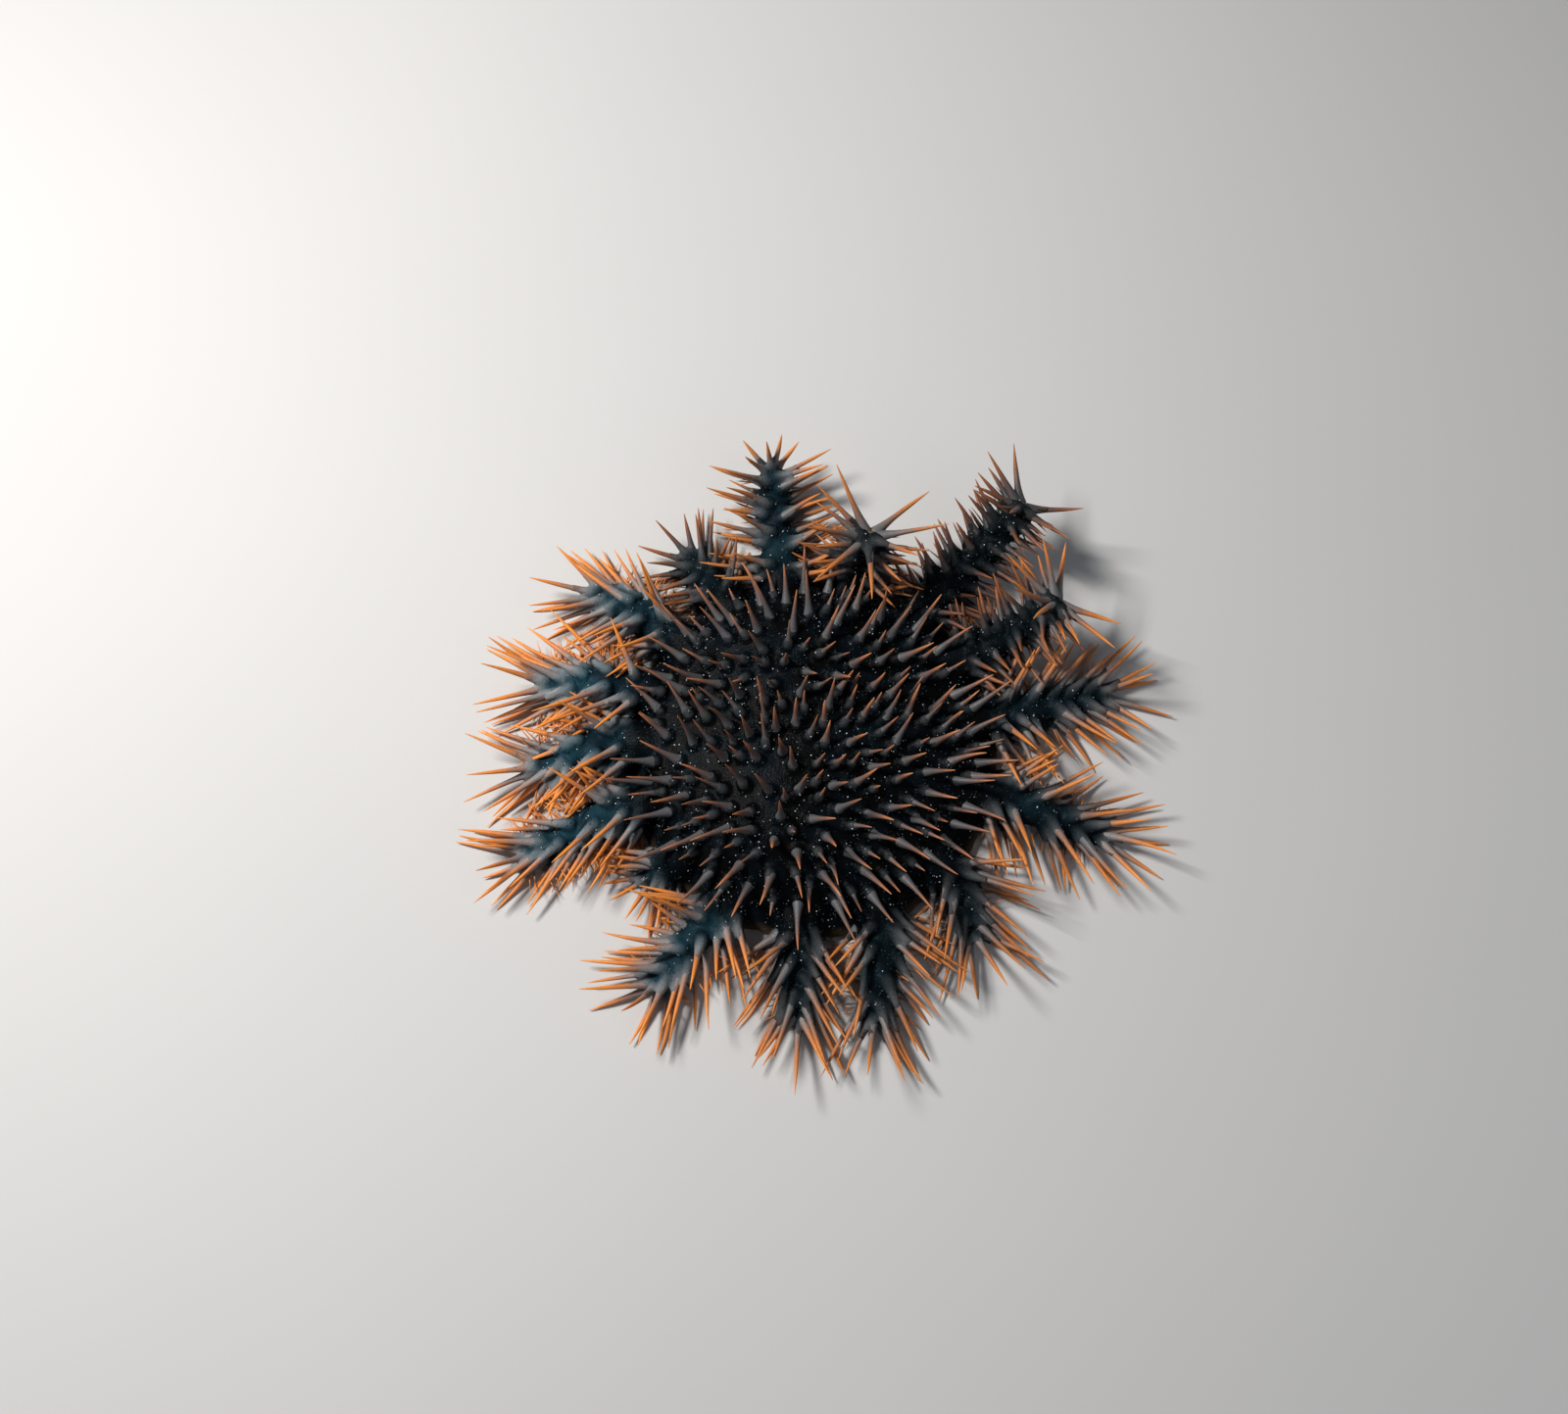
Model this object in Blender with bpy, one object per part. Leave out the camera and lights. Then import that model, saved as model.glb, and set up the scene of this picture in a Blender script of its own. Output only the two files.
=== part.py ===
"""Crown of thorns starfish, life size, lying on its underside with three arm tips curled up.

Metres, +Z up. The origin is under the middle of the disc, at the level the animal rests on.
The disc is one piece and each of the sixteen arms is one piece, and they meet face to face.
Every spine is a tapered piece on a broad foot, joined to the disc or arm that it grows from.
"""

import math
import random

import bmesh
import bpy
import numpy as np
from mathutils import Matrix, Vector
from mathutils.bvhtree import BVHTree

SEED = 16

# Gap that neighbours keep where they meet, and the least room between pieces that pass each other
GAP = 0.0003
CLEARANCE = 0.00045
FLOOR_ROOM = 0.0002

# Disc: a low dome with two humps and a shallow valley between them
DISC_RADIUS = 0.0775
DISC_RIM_HEIGHT = 0.0225
DISC_RISE = 0.0105
DISC_RIM_MIDDLE = 0.011
HUMPS = ((-0.014, -0.050, 0.0075, 0.026), (-0.014, 0.047, 0.0060, 0.022))
VALLEY_Y = 0.022
VALLEY_DEPTH = 0.0030
VALLEY_WIDTH = 0.011
DISC_SEGMENTS = 32
DISC_RINGS = 12

# Arms: where each leaves the disc, and how thick it is
ARM_START_RADIUS = 0.036
ARM_ROOT_RADIUS = 0.0805
ARM_ROOT_THICKNESS = 0.0112
ARM_MIDDLE_THICKNESS = 0.0067
ARM_TIP_THICKNESS = 0.0051
ARM_ROUND_END = 0.12
ARM_LAST_RING = 0.28
ARM_SHOULDER = 0.4
ARM_HANDLE = 0.38
ARM_ROOM = 0.48
FLOOR_SINK = 0.68
ARM_FOOT_PART = 0.14
ARM_STATIONS = 8
ARM_BEVEL_RESOLUTION = 2

# Each arm: the angle where it leaves the disc, the place of its tip, and the height of its arch or,
# where its end curls up, the angle at which it points up. Then its spines: how far they lean towards
# its end, at its root and its tip, how far they are all turned sideways, and how long they are in
# its rows and round its tip
ARMS = {
    "arm_01": dict(angle=10, tip=(0.1370, 0.0285), arch=0.004, lean=(24, 46), turn=-12, long=(0.95, 0.95)),
    "arm_02": dict(angle=31, tip=(0.1125, 0.0615, 0.044), curl=68, lean=(16, 16), turn=0, long=(0.62, 0.90)),
    "arm_03": dict(angle=52, tip=(0.0985, 0.1095, 0.040), curl=66, lean=(16, 16), turn=0, long=(0.62, 0.80)),
    "arm_04": dict(angle=76, tip=(0.0262, 0.0907, 0.052), curl=76, lean=(16, 16), turn=0, long=(0.70, 1.00)),
    "arm_05": dict(angle=99, tip=(-0.0190, 0.1370, 0.018), curl=40, lean=(8, 22), turn=0, long=(0.80, 0.58)),
    "arm_06": dict(angle=120, tip=(-0.0575, 0.0960), arch=0.002, lean=(24, 36), turn=14, long=(0.75, 0.70)),
    "arm_07": dict(angle=140, tip=(-0.1020, 0.0785), arch=0.006, lean=(34, 56), turn=24, long=(0.95, 0.95)),
    "arm_08": dict(angle=160, tip=(-0.1240, 0.0330), arch=0.006, lean=(44, 64), turn=0, long=(1.12, 1.08)),
    "arm_09": dict(angle=178, tip=(-0.1270, -0.0070), arch=0.007, lean=(46, 66), turn=0, long=(1.15, 1.10)),
    "arm_10": dict(angle=198, tip=(-0.1310, -0.0490), arch=0.005, lean=(44, 64), turn=-4, long=(0.98, 0.98)),
    "arm_11": dict(angle=219, tip=(-0.0745, -0.0600), arch=0.0, lean=(30, 50), turn=0, long=(0.72, 0.72)),
    "arm_12": dict(angle=241, tip=(-0.0700, -0.1085), arch=0.005, lean=(28, 50), turn=-10, long=(0.95, 0.95)),
    "arm_13": dict(angle=266, tip=(-0.0060, -0.1215), arch=0.001, lean=(46, 64), turn=0, long=(1.00, 1.00)),
    "arm_14": dict(angle=291, tip=(0.0280, -0.1230), arch=0.004, lean=(44, 62), turn=4, long=(1.03, 1.03)),
    "arm_15": dict(angle=318, tip=(0.0735, -0.0850), arch=0.002, lean=(44, 60), turn=0, long=(1.05, 1.00)),
    "arm_16": dict(angle=345, tip=(0.1325, -0.0390), arch=0.005, lean=(30, 54), turn=-4, long=(1.00, 1.00)),
}
ARM_NAMES = sorted(ARMS)

# A spine's broad foot starts this deep under the skin and ends at this share of its length
SPINE_SIDES = 4
FOOT_SINK = 0.0040
FOOT_SHARE = 0.20

# Spines of the disc: their number, lengths and radii, how far they lean, and how far those of its
# back half drift back
DISC_SPINES = 122
DISC_SPINE_FIELD = 0.0755
DISC_SPINE_LENGTH = (0.0170, 0.0250)
DISC_FOOT_RADIUS = 0.0029
DISC_SHAFT_RADIUS = 0.0016
DISC_LEAN = 3.0
DISC_RIM_LEAN = 0.95
DISC_DRIFT = 0.22
DISC_DRIFT_START = -0.030
DISC_DRIFT_WIDTH = 0.045
DISC_LEAN_JITTER = 0.16
DISC_LENGTH_VARIES = 0.12
DISC_DRAWS = 24

# Spines of the arms, in rows on both sides: the angle from the top at which they grow and the one
# they point to, spacing, length, and the radius of the foot
ARM_ROWS = (
    dict(side=27, aim=50, spacing=0.0155, length=0.0320, foot=0.0030),
    dict(side=62, aim=76, spacing=0.0150, length=0.0350, foot=0.0026),
    dict(side=97, aim=94, spacing=0.0195, length=0.0330, foot=0.0022),
)
ARM_FIRST_SPINE = 0.0062
ARM_LAST_SPINE = 0.0050
ARM_SHAFT_RADIUS = 0.00170
ARM_LENGTH_VARIES = 0.12
ARM_ANGLE_JITTER = 9
ARM_STAGGER = 0.25
ARM_FRAMES = 60
LOWEST_FOOT = 0.0018

# Spines round an arm's tip, a fan where the arm lies flat and a star where its end curls up: how
# many, how far they spread from the arm's own way, and the part of a turn round it that they take
TIP_FAN = dict(count=5, spread=(14, 52), around=200)
TIP_STAR = dict(count=8, spread=(50, 82), around=270)
TIP_AROUND_JITTER = 12
TIP_LENGTH = 0.0340
TIP_FOOT_RADIUS = 0.0024
TIP_FOOT_PLACE = 0.6
STAR_CURL = 60

# How far a spine may turn, and how short it may be made, to pass clear of its neighbours
TRIES = 16
TURN_STEP = 2.6
SHORTEN_STEP = 0.022
OWN_NODE_TRIES = 9
CHECKED_SHARES = [step / 20 for step in range(-3, 21)]

# Colours of the plain materials
DISC_COLOUR = (0.016, 0.019, 0.024, 1.0)
ARM_COLOUR = (0.075, 0.095, 0.115, 1.0)
SKIN_ROUGHNESS = 0.55


def clear_scene():
    for item in list(bpy.data.objects):
        bpy.data.objects.remove(item, do_unlink=True)


def new_collection(name):
    made = bpy.data.collections.new(name)
    bpy.context.scene.collection.children.link(made)
    return made


def skin_material(name, colour):
    material = bpy.data.materials.new(name)
    material.use_nodes = True
    shader = material.node_tree.nodes["Principled BSDF"]
    shader.inputs["Base Color"].default_value = colour
    shader.inputs["Roughness"].default_value = SKIN_ROUGHNESS
    shader.inputs["Metallic"].default_value = 0.0
    return material


def disc_height(x, y):
    """Height of the dome over a point of the floor, before its rim rounds off."""
    rest = max(0.0, 1.0 - (x * x + y * y) / DISC_RADIUS**2)
    height = DISC_RIM_HEIGHT + DISC_RISE * rest
    for hump_x, hump_y, rise, width in HUMPS:
        off = ((x - hump_x) ** 2 + (y - hump_y) ** 2) / (2 * width * width)
        height += rise * math.exp(-off)
    height -= VALLEY_DEPTH * math.exp(-((y - VALLEY_Y) ** 2) / (2 * VALLEY_WIDTH**2))
    return height


def outward(angle):
    turn = math.radians(angle)
    return Vector((math.cos(turn), math.sin(turn), 0.0))


def root_thickness(name):
    """Half the width of an arm where it leaves the disc, kept inside its share of the rim."""
    here = ARM_NAMES.index(name)
    angle = ARMS[name]["angle"]
    after = ARMS[ARM_NAMES[(here + 1) % len(ARM_NAMES)]]["angle"]
    before = ARMS[ARM_NAMES[here - 1]]["angle"]
    nearest = min((after - angle) % 360, (angle - before) % 360)
    share = 2 * ARM_ROOT_RADIUS * math.sin(math.radians(nearest / 2))
    return min(ARM_ROOT_THICKNESS, ARM_ROOM * share)


def round_end(t):
    """Share of the thickness that is left where an arm's end rounds off."""
    past = max(0.0, (t - (1.0 - ARM_ROUND_END)) / ARM_ROUND_END)
    return math.sqrt(1.0 - (1.0 - ARM_LAST_RING**2) * past**2)


def arm_thickness(name, t):
    """Radius of an arm, t being 0 at its root and 1 at its tip."""
    root = root_thickness(name)
    if t < 0.5:
        return root + (ARM_MIDDLE_THICKNESS - root) * max(t, 0.0) / 0.5
    return ARM_MIDDLE_THICKNESS + (ARM_TIP_THICKNESS - ARM_MIDDLE_THICKNESS) * (t - 0.5) / 0.5


def arm_handles(name):
    """The four control points of the cubic that an arm follows beyond its root plane."""
    arm = ARMS[name]
    way = outward(arm["angle"])
    start = way * ARM_ROOT_RADIUS
    start.z = root_thickness(name) * FLOOR_SINK
    x, y, z = (*arm["tip"], ARM_TIP_THICKNESS * FLOOR_SINK)[:3]
    end = Vector((x, y, z))
    flat = Vector((end.x - start.x, end.y - start.y, 0.0)).normalized()
    rise = math.radians(arm.get("curl", 0))
    point_way = flat * math.cos(rise) + Vector((0.0, 0.0, math.sin(rise)))
    handle = (end - start).length * ARM_HANDLE
    return start, start + way * handle, end - point_way * handle, end


def arm_centre(name, t):
    """A point of an arm's middle line. Below 0 it runs straight in under the dome."""
    start, first, second, end = arm_handles(name)
    if t < 0.0:
        way = outward(ARMS[name]["angle"])
        return start + way * (t * (ARM_ROOT_RADIUS - ARM_START_RADIUS))
    u = 1.0 - t
    point = start * u**3 + first * (3 * u * u * t) + second * (3 * u * t * t) + end * t**3
    if "arch" in ARMS[name]:
        along = min(1.0, max(0.0, (t - ARM_FOOT_PART) / (1.0 - 2 * ARM_FOOT_PART)))
        arch = ARMS[name]["arch"] * math.sin(math.pi * along) ** 2
        point.z = arm_thickness(name, t) * FLOOR_SINK + arch
    return point


def arm_frames(name, count):
    """Points along an arm with its forward, upward and sideways directions carried along it."""
    frames = []
    way = outward(ARMS[name]["angle"])
    up = Vector((0.0, 0.0, 1.0))
    travelled = 0.0
    before = arm_centre(name, 0.0)
    for step in range(count + 1):
        t = step / count
        centre = arm_centre(name, t)
        travelled += (centre - before).length
        if step:
            way = (arm_centre(name, min(1.0, t + 0.01)) - arm_centre(name, t - 0.01)).normalized()
        up = (up - way * up.dot(way)).normalized()
        frames.append((t, travelled, centre, way, up, way.cross(up)))
        before = centre
    return frames


def frame_at(frames, distance):
    """The frame nearest to a distance along the arm."""
    return min(frames, key=lambda frame: abs(frame[1] - distance))


def tube(name, points, radii, collection):
    """A closed tube through the points, made from a curve with a bevel."""
    curve = bpy.data.curves.new(name + "_curve", "CURVE")
    curve.dimensions = "3D"
    curve.twist_mode = "Z_UP"
    curve.bevel_depth = 1.0
    curve.bevel_resolution = ARM_BEVEL_RESOLUTION
    curve.use_fill_caps = True
    spline = curve.splines.new("POLY")
    spline.points.add(len(points) - 1)
    for place, point, radius in zip(spline.points, points, radii):
        place.co = (*point, 1.0)
        place.radius = radius
    guide = bpy.data.objects.new(name + "_curve", curve)
    collection.objects.link(guide)
    graph = bpy.context.evaluated_depsgraph_get()
    mesh = bpy.data.meshes.new_from_object(guide.evaluated_get(graph))
    mesh.name = name
    made = bpy.data.objects.new(name, mesh)
    made.matrix_world = guide.matrix_world
    collection.objects.link(made)
    bpy.data.objects.remove(guide, do_unlink=True)
    shape = bmesh.new()
    shape.from_mesh(mesh)
    bmesh.ops.remove_doubles(shape, verts=shape.verts, dist=0.00001)
    bmesh.ops.recalc_face_normals(shape, faces=shape.faces)
    shape.to_mesh(mesh)
    shape.free()
    return made


def rest_on_floor(item):
    """Flattens what would reach below the floor, as an animal's weight does."""
    for vertex in item.data.vertices:
        vertex.co.z = max(vertex.co.z, 0.0)


def cut_away(item, point, normal):
    """Cuts off what lies beyond a plane, on the side its normal points to, and closes the cut."""
    shape = bmesh.new()
    shape.from_mesh(item.data)
    everything = shape.verts[:] + shape.edges[:] + shape.faces[:]
    cut = bmesh.ops.bisect_plane(
        shape, geom=everything, plane_co=point, plane_no=normal, clear_outer=True, dist=1e-7
    )
    rim = [part for part in cut["geom_cut"] if isinstance(part, bmesh.types.BMEdge)]
    bmesh.ops.holes_fill(shape, edges=rim)
    bmesh.ops.recalc_face_normals(shape, faces=shape.faces)
    shape.to_mesh(item.data)
    shape.free()


def disc_stub(name, collection):
    """The part of an arm that lies inside the disc, cut flat where the arm's own piece begins."""
    stations = (-1.0, 0.0, 0.1)
    points = [arm_centre(name, t) for t in stations]
    radii = [arm_thickness(name, t) for t in stations]
    made = tube(name + "_stub", points, radii, collection)
    rest_on_floor(made)
    way = outward(ARMS[name]["angle"])
    cut_away(made, way * ARM_ROOT_RADIUS, way)
    return made


def arm_body(name, collection):
    """The arm's flesh: a tapering tube, round at its end and flat where it rests."""
    stations = [-0.15] + [step / (ARM_STATIONS - 1) for step in range(ARM_STATIONS)]
    stations.insert(-1, 1.0 - ARM_ROUND_END * ARM_SHOULDER)
    points = [arm_centre(name, t) for t in stations]
    radii = [arm_thickness(name, t) * round_end(t) for t in stations]
    made = tube(name, points, radii, collection)
    rest_on_floor(made)
    way = outward(ARMS[name]["angle"])
    cut_away(made, way * (ARM_ROOT_RADIUS + GAP), -way)
    return made


def disc_body(collection):
    """The disc's flesh: a sphere primitive drawn out to the dome's outline and heights."""
    mesh = bpy.data.meshes.new("disc")
    shape = bmesh.new()
    bmesh.ops.create_uvsphere(
        shape, u_segments=DISC_SEGMENTS, v_segments=DISC_RINGS, radius=1.0
    )
    for vertex in shape.verts:
        x = vertex.co.x * DISC_RADIUS
        y = vertex.co.y * DISC_RADIUS
        if vertex.co.z >= 0.0:
            fullness = vertex.co.z * math.sqrt(2.0 - vertex.co.z**2)
            z = DISC_RIM_MIDDLE + (disc_height(x, y) - DISC_RIM_MIDDLE) * fullness
        else:
            z = DISC_RIM_MIDDLE * (1.0 + 2.0 * vertex.co.z)
        vertex.co = (x, y, max(z, 0.0))
    bmesh.ops.dissolve_limit(
        shape, angle_limit=0.0005, verts=shape.verts, edges=shape.edges
    )
    bmesh.ops.triangulate(shape, faces=shape.faces)
    bmesh.ops.recalc_face_normals(shape, faces=shape.faces)
    shape.to_mesh(mesh)
    shape.free()
    made = bpy.data.objects.new("disc", mesh)
    collection.objects.link(made)
    return made


def surface_of(item):
    """A search tree over an object's faces, for rays and nearest distances."""
    points = [vertex.co.copy() for vertex in item.data.vertices]
    faces = [tuple(face.vertices) for face in item.data.polygons]
    return BVHTree.FromPolygons(points, faces)


def closest_on_segments(start, way, starts, ways):
    """Where one segment and each of many come closest: both places, from 0 to 1, and distance."""
    apart = start - starts
    a = way @ way
    e = np.einsum("ij,ij->i", ways, ways)
    b = ways @ way
    c = apart @ way
    f = np.einsum("ij,ij->i", ways, apart)
    scale = np.maximum(a * e - b * b, 1e-14)
    s = np.clip((b * f - c * e) / scale, 0.0, 1.0)
    t = np.clip((b * s + f) / e, 0.0, 1.0)
    s = np.clip((b * t - c) / a, 0.0, 1.0)
    gap = apart + s[:, None] * way - t[:, None] * ways
    return s, t, np.sqrt(np.einsum("ij,ij->i", gap, gap))


def closest_on_segment(points, starts, ways):
    """Where segments come closest to points, one of the two being single: place and distance."""
    apart = points - starts
    t = np.clip((apart * ways).sum(axis=-1) / (ways * ways).sum(axis=-1), 0.0, 1.0)
    gap = apart - t[..., None] * ways
    return t, np.sqrt((gap * gap).sum(axis=-1))


def spine_radius(share, foot, shaft):
    """Radius of a spine at a share of its length above the skin."""
    share = np.asarray(share, dtype=float)
    low = shaft + (foot - shaft) * (FOOT_SHARE - share) / FOOT_SHARE
    high = shaft * (1.0 - share) / (1.0 - FOOT_SHARE)
    return np.where(share < FOOT_SHARE, low, high)


class Thicket:
    """All spines placed so far, which each new one is kept clear of."""

    def __init__(self, surfaces):
        self.surfaces = surfaces
        self.spines = []
        self.draw = random.Random(SEED)

    def clear_of_bodies(self, node, start, way, length, foot, shaft):
        unit = way / length
        for other, surface in self.surfaces.items():
            if other == node:
                continue
            if surface.ray_cast(Vector(start), Vector(unit), length)[0] is not None:
                return False
            for share in CHECKED_SHARES:
                point = Vector(start + way * share)
                room = float(spine_radius(share, foot, shaft)) + CLEARANCE
                if surface.find_nearest(point, room)[0] is not None:
                    return False
        return True

    def clear_of_spines(self, node, start, way, foot, shaft, own):
        if not self.spines:
            return True
        starts = np.array([spine["start"] for spine in self.spines])
        ways = np.array([spine["way"] for spine in self.spines])
        feet = np.array([spine["foot"] for spine in self.spines])
        shafts = np.array([spine["shaft"] for spine in self.spines])
        same = np.array([spine["node"] == node for spine in self.spines])
        s, t, gap = closest_on_segments(start, way, starts, ways)
        room = gap - spine_radius(s, foot, shaft) - spine_radius(t, feet, shafts)
        if (room[~same] < CLEARANCE).any():
            return False
        for share in CHECKED_SHARES:
            mine = start + way * share
            theirs = starts + ways * share
            t, gap = closest_on_segment(mine, starts, ways)
            room_mine = gap - spine_radius(share, foot, shaft) - spine_radius(t, feet, shafts)
            t, gap = closest_on_segment(theirs, start, way)
            room_theirs = gap - spine_radius(share, feet, shafts) - spine_radius(t, foot, shaft)
            if (np.minimum(room_mine, room_theirs)[~same] < CLEARANCE).any():
                return False
        high = (s > FOOT_SHARE) & (t > FOOT_SHARE)
        return not own or not (room[same & high] < 0.0).any()

    def clear_of_floor(self, start, way, foot, shaft):
        length = np.linalg.norm(way)
        shares = np.array((-FOOT_SINK / length, 0.0, FOOT_SHARE, 1.0))
        heights = start[2] + way[2] * shares
        drops = spine_radius(shares, foot, shaft) * math.sqrt(1.0 - (way[2] / length) ** 2)
        return bool((heights - drops > FLOOR_ROOM).all())

    def add(self, node, point, direction, length, foot, shaft):
        """Sets a spine on the skin, turned or shortened a little where it would touch another."""
        start = np.array(point)
        for attempt in range(TRIES):
            turn = math.radians(TURN_STEP * attempt)
            off = Vector([self.draw.gauss(0.0, 1.0) for _ in range(3)]).normalized()
            aim = (Vector(direction).normalized() + off * math.tan(turn)).normalized()
            reach = length * (1.0 - SHORTEN_STEP * attempt)
            way = np.array(aim) * reach
            if not self.clear_of_floor(start, way, foot, shaft):
                continue
            if not self.clear_of_spines(node, start, way, foot, shaft, attempt < OWN_NODE_TRIES):
                continue
            if not self.clear_of_bodies(node, start, way, reach, foot, shaft):
                continue
            made = dict(node=node, start=start, way=way, foot=foot, shaft=shaft)
            self.spines.append(made)
            return made
        return None


def even_points(count, radius, draw):
    """Points spread evenly over a round field, each the loneliest of a few drawn at random."""
    chosen = []
    for _ in range(count):
        best = None
        for _ in range(DISC_DRAWS):
            reach = radius * math.sqrt(draw.random())
            turn = draw.uniform(0.0, 2 * math.pi)
            point = (reach * math.cos(turn), reach * math.sin(turn))
            lonely = min(
                (math.hypot(point[0] - x, point[1] - y) for x, y in chosen), default=1.0
            )
            if best is None or lonely > best[0]:
                best = (lonely, point)
        chosen.append(best[1])
    return chosen


def disc_lean(x, y):
    """Which way a spine of the disc points.

    It leans away from the nearer hump's top, out at the rim, and a little back in the back half.
    """
    step = 0.001
    slope_x = (disc_height(x + step, y) - disc_height(x - step, y)) / (2 * step)
    slope_y = (disc_height(x, y + step) - disc_height(x, y - step)) / (2 * step)
    rim = DISC_RIM_LEAN * (math.hypot(x, y) / DISC_SPINE_FIELD) ** 5
    reach = max(math.hypot(x, y), 1e-6)
    drift = DISC_DRIFT * min(1.0, max(0.0, (y - DISC_DRIFT_START) / DISC_DRIFT_WIDTH))
    return Vector(
        (
            -DISC_LEAN * slope_x + rim * x / reach,
            -DISC_LEAN * slope_y + rim * y / reach + drift,
            1.0,
        )
    )


def grow_disc_spines(thicket, surface):
    draw = thicket.draw
    for x, y in even_points(DISC_SPINES, DISC_SPINE_FIELD, draw):
        point = surface.ray_cast(Vector((x, y, 1.0)), Vector((0.0, 0.0, -1.0)))[0]
        if point is None or point.z < DISC_RIM_MIDDLE:
            continue
        way = disc_lean(x, y)
        way += Vector([draw.gauss(0.0, DISC_LEAN_JITTER) for _ in range(3)])
        edge = math.hypot(x, y) / DISC_SPINE_FIELD
        shortest, longest = DISC_SPINE_LENGTH
        length = shortest + (longest - shortest) * edge**2
        length *= 1.0 + draw.uniform(-DISC_LENGTH_VARIES, DISC_LENGTH_VARIES)
        thicket.add("disc", point, way, length, DISC_FOOT_RADIUS, DISC_SHAFT_RADIUS)


def side_way(up, side, angle):
    turn = math.radians(angle)
    return up * math.cos(turn) + side * math.sin(turn)


def turned(way, angle):
    """A direction turned about the vertical."""
    return Matrix.Rotation(math.radians(angle), 3, "Z") @ way


def grow_arm_spines(thicket, name):
    arm = ARMS[name]
    draw = thicket.draw
    frames = arm_frames(name, ARM_FRAMES)
    total = frames[-1][1]
    field = total - ARM_FIRST_SPINE - ARM_LAST_SPINE
    for row in ARM_ROWS:
        count = max(2, round(field / row["spacing"]) + 1)
        for hand in (-1, 1):
            for step in range(count):
                along = min(1.0, max(0.0, (step - hand * ARM_STAGGER) / (count - 1)))
                distance = ARM_FIRST_SPINE + field * along
                t, _, centre, way, up, side = frame_at(frames, distance)
                shift = draw.uniform(-ARM_ANGLE_JITTER, ARM_ANGLE_JITTER)
                root_way = side_way(up, side, hand * row["side"] + shift)
                point = centre + root_way * arm_thickness(name, t) * round_end(t)
                if point.z < LOWEST_FOOT:
                    continue
                first, last = arm["lean"]
                lean = math.radians(first + (last - first) * along)
                out = side_way(up, side, hand * row["aim"] + shift)
                aim = turned(out * math.cos(lean) + way * math.sin(lean), arm["turn"])
                length = row["length"] * arm["long"][0]
                length *= 1 + draw.uniform(-ARM_LENGTH_VARIES, ARM_LENGTH_VARIES)
                thicket.add(name, point, aim, length, row["foot"], ARM_SHAFT_RADIUS)
    _, _, centre, way, up, side = frames[-1]
    end = TIP_STAR if arm.get("curl", 0) > STAR_CURL else TIP_FAN
    for step in range(end["count"]):
        around = end["around"] * (step / (end["count"] - 1) - 0.5)
        around += draw.uniform(-TIP_AROUND_JITTER, TIP_AROUND_JITTER)
        spread = math.radians(draw.uniform(*end["spread"]))
        out = way * math.cos(spread) + side_way(up, side, around) * math.sin(spread)
        point = centre + (out - way) * ARM_TIP_THICKNESS * TIP_FOOT_PLACE
        length = TIP_LENGTH * arm["long"][1]
        length *= 1 + draw.uniform(-ARM_LENGTH_VARIES, ARM_LENGTH_VARIES)
        aim = turned(out, arm["turn"])
        thicket.add(name, point, aim, length, TIP_FOOT_RADIUS, ARM_SHAFT_RADIUS)


def spine_piece(spine, number, collection):
    """A closed spine: a cone narrowed above its foot, its root sunk in the flesh."""
    length = float(np.linalg.norm(spine["way"]))
    foot_top = FOOT_SHARE * length
    root = spine["foot"] + (spine["foot"] - spine["shaft"]) * FOOT_SINK / foot_top
    shape = bmesh.new()
    bmesh.ops.create_cone(
        shape,
        cap_ends=True,
        cap_tris=False,
        segments=SPINE_SIDES,
        radius1=root,
        radius2=0.0,
        depth=FOOT_SINK + length,
        matrix=Matrix.Translation((0.0, 0.0, (length - FOOT_SINK) / 2)),
    )
    bmesh.ops.remove_doubles(shape, verts=shape.verts, dist=0.00001)
    everything = shape.verts[:] + shape.edges[:] + shape.faces[:]
    bmesh.ops.bisect_plane(
        shape, geom=everything, plane_co=(0.0, 0.0, foot_top), plane_no=(0.0, 0.0, 1.0)
    )
    for vertex in shape.verts:
        if abs(vertex.co.z - foot_top) < 0.00005:
            wide = math.hypot(vertex.co.x, vertex.co.y)
            vertex.co.x *= spine["shaft"] / wide
            vertex.co.y *= spine["shaft"] / wide
    turn = Vector(spine["way"]).to_track_quat("Z", "Y").to_matrix().to_4x4()
    shape.transform(Matrix.Translation(Vector(spine["start"])) @ turn)
    mesh = bpy.data.meshes.new(f"{spine['node']}_spine_{number}")
    shape.to_mesh(mesh)
    shape.free()
    made = bpy.data.objects.new(mesh.name, mesh)
    collection.objects.link(made)
    return made


def keep_largest(mesh):
    """Keeps only the closed surface with the most faces."""
    shape = bmesh.new()
    shape.from_mesh(mesh)
    left = set(shape.faces)
    islands = []
    while left:
        island = set()
        front = [left.pop()]
        while front:
            face = front.pop()
            island.add(face)
            for edge in face.edges:
                for near in edge.link_faces:
                    if near in left:
                        left.discard(near)
                        front.append(near)
        islands.append(island)
    islands.sort(key=len, reverse=True)
    loose = [face for island in islands[1:] for face in island]
    if loose:
        bmesh.ops.delete(shape, geom=loose, context="FACES")
    shape.to_mesh(mesh)
    shape.free()


def join_pieces(body, pieces):
    """One Boolean union of a body with a collection of closed pieces, applied."""
    union = body.modifiers.new("join", "BOOLEAN")
    union.operation = "UNION"
    union.operand_type = "COLLECTION"
    union.collection = pieces
    union.solver = "EXACT"
    graph = bpy.context.evaluated_depsgraph_get()
    joined = bpy.data.meshes.new_from_object(body.evaluated_get(graph))
    joined.name = body.name
    body.modifiers.remove(union)
    body.data = joined
    keep_largest(joined)
    for piece in list(pieces.objects):
        bpy.data.objects.remove(piece, do_unlink=True)
    bpy.data.collections.remove(pieces)


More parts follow.
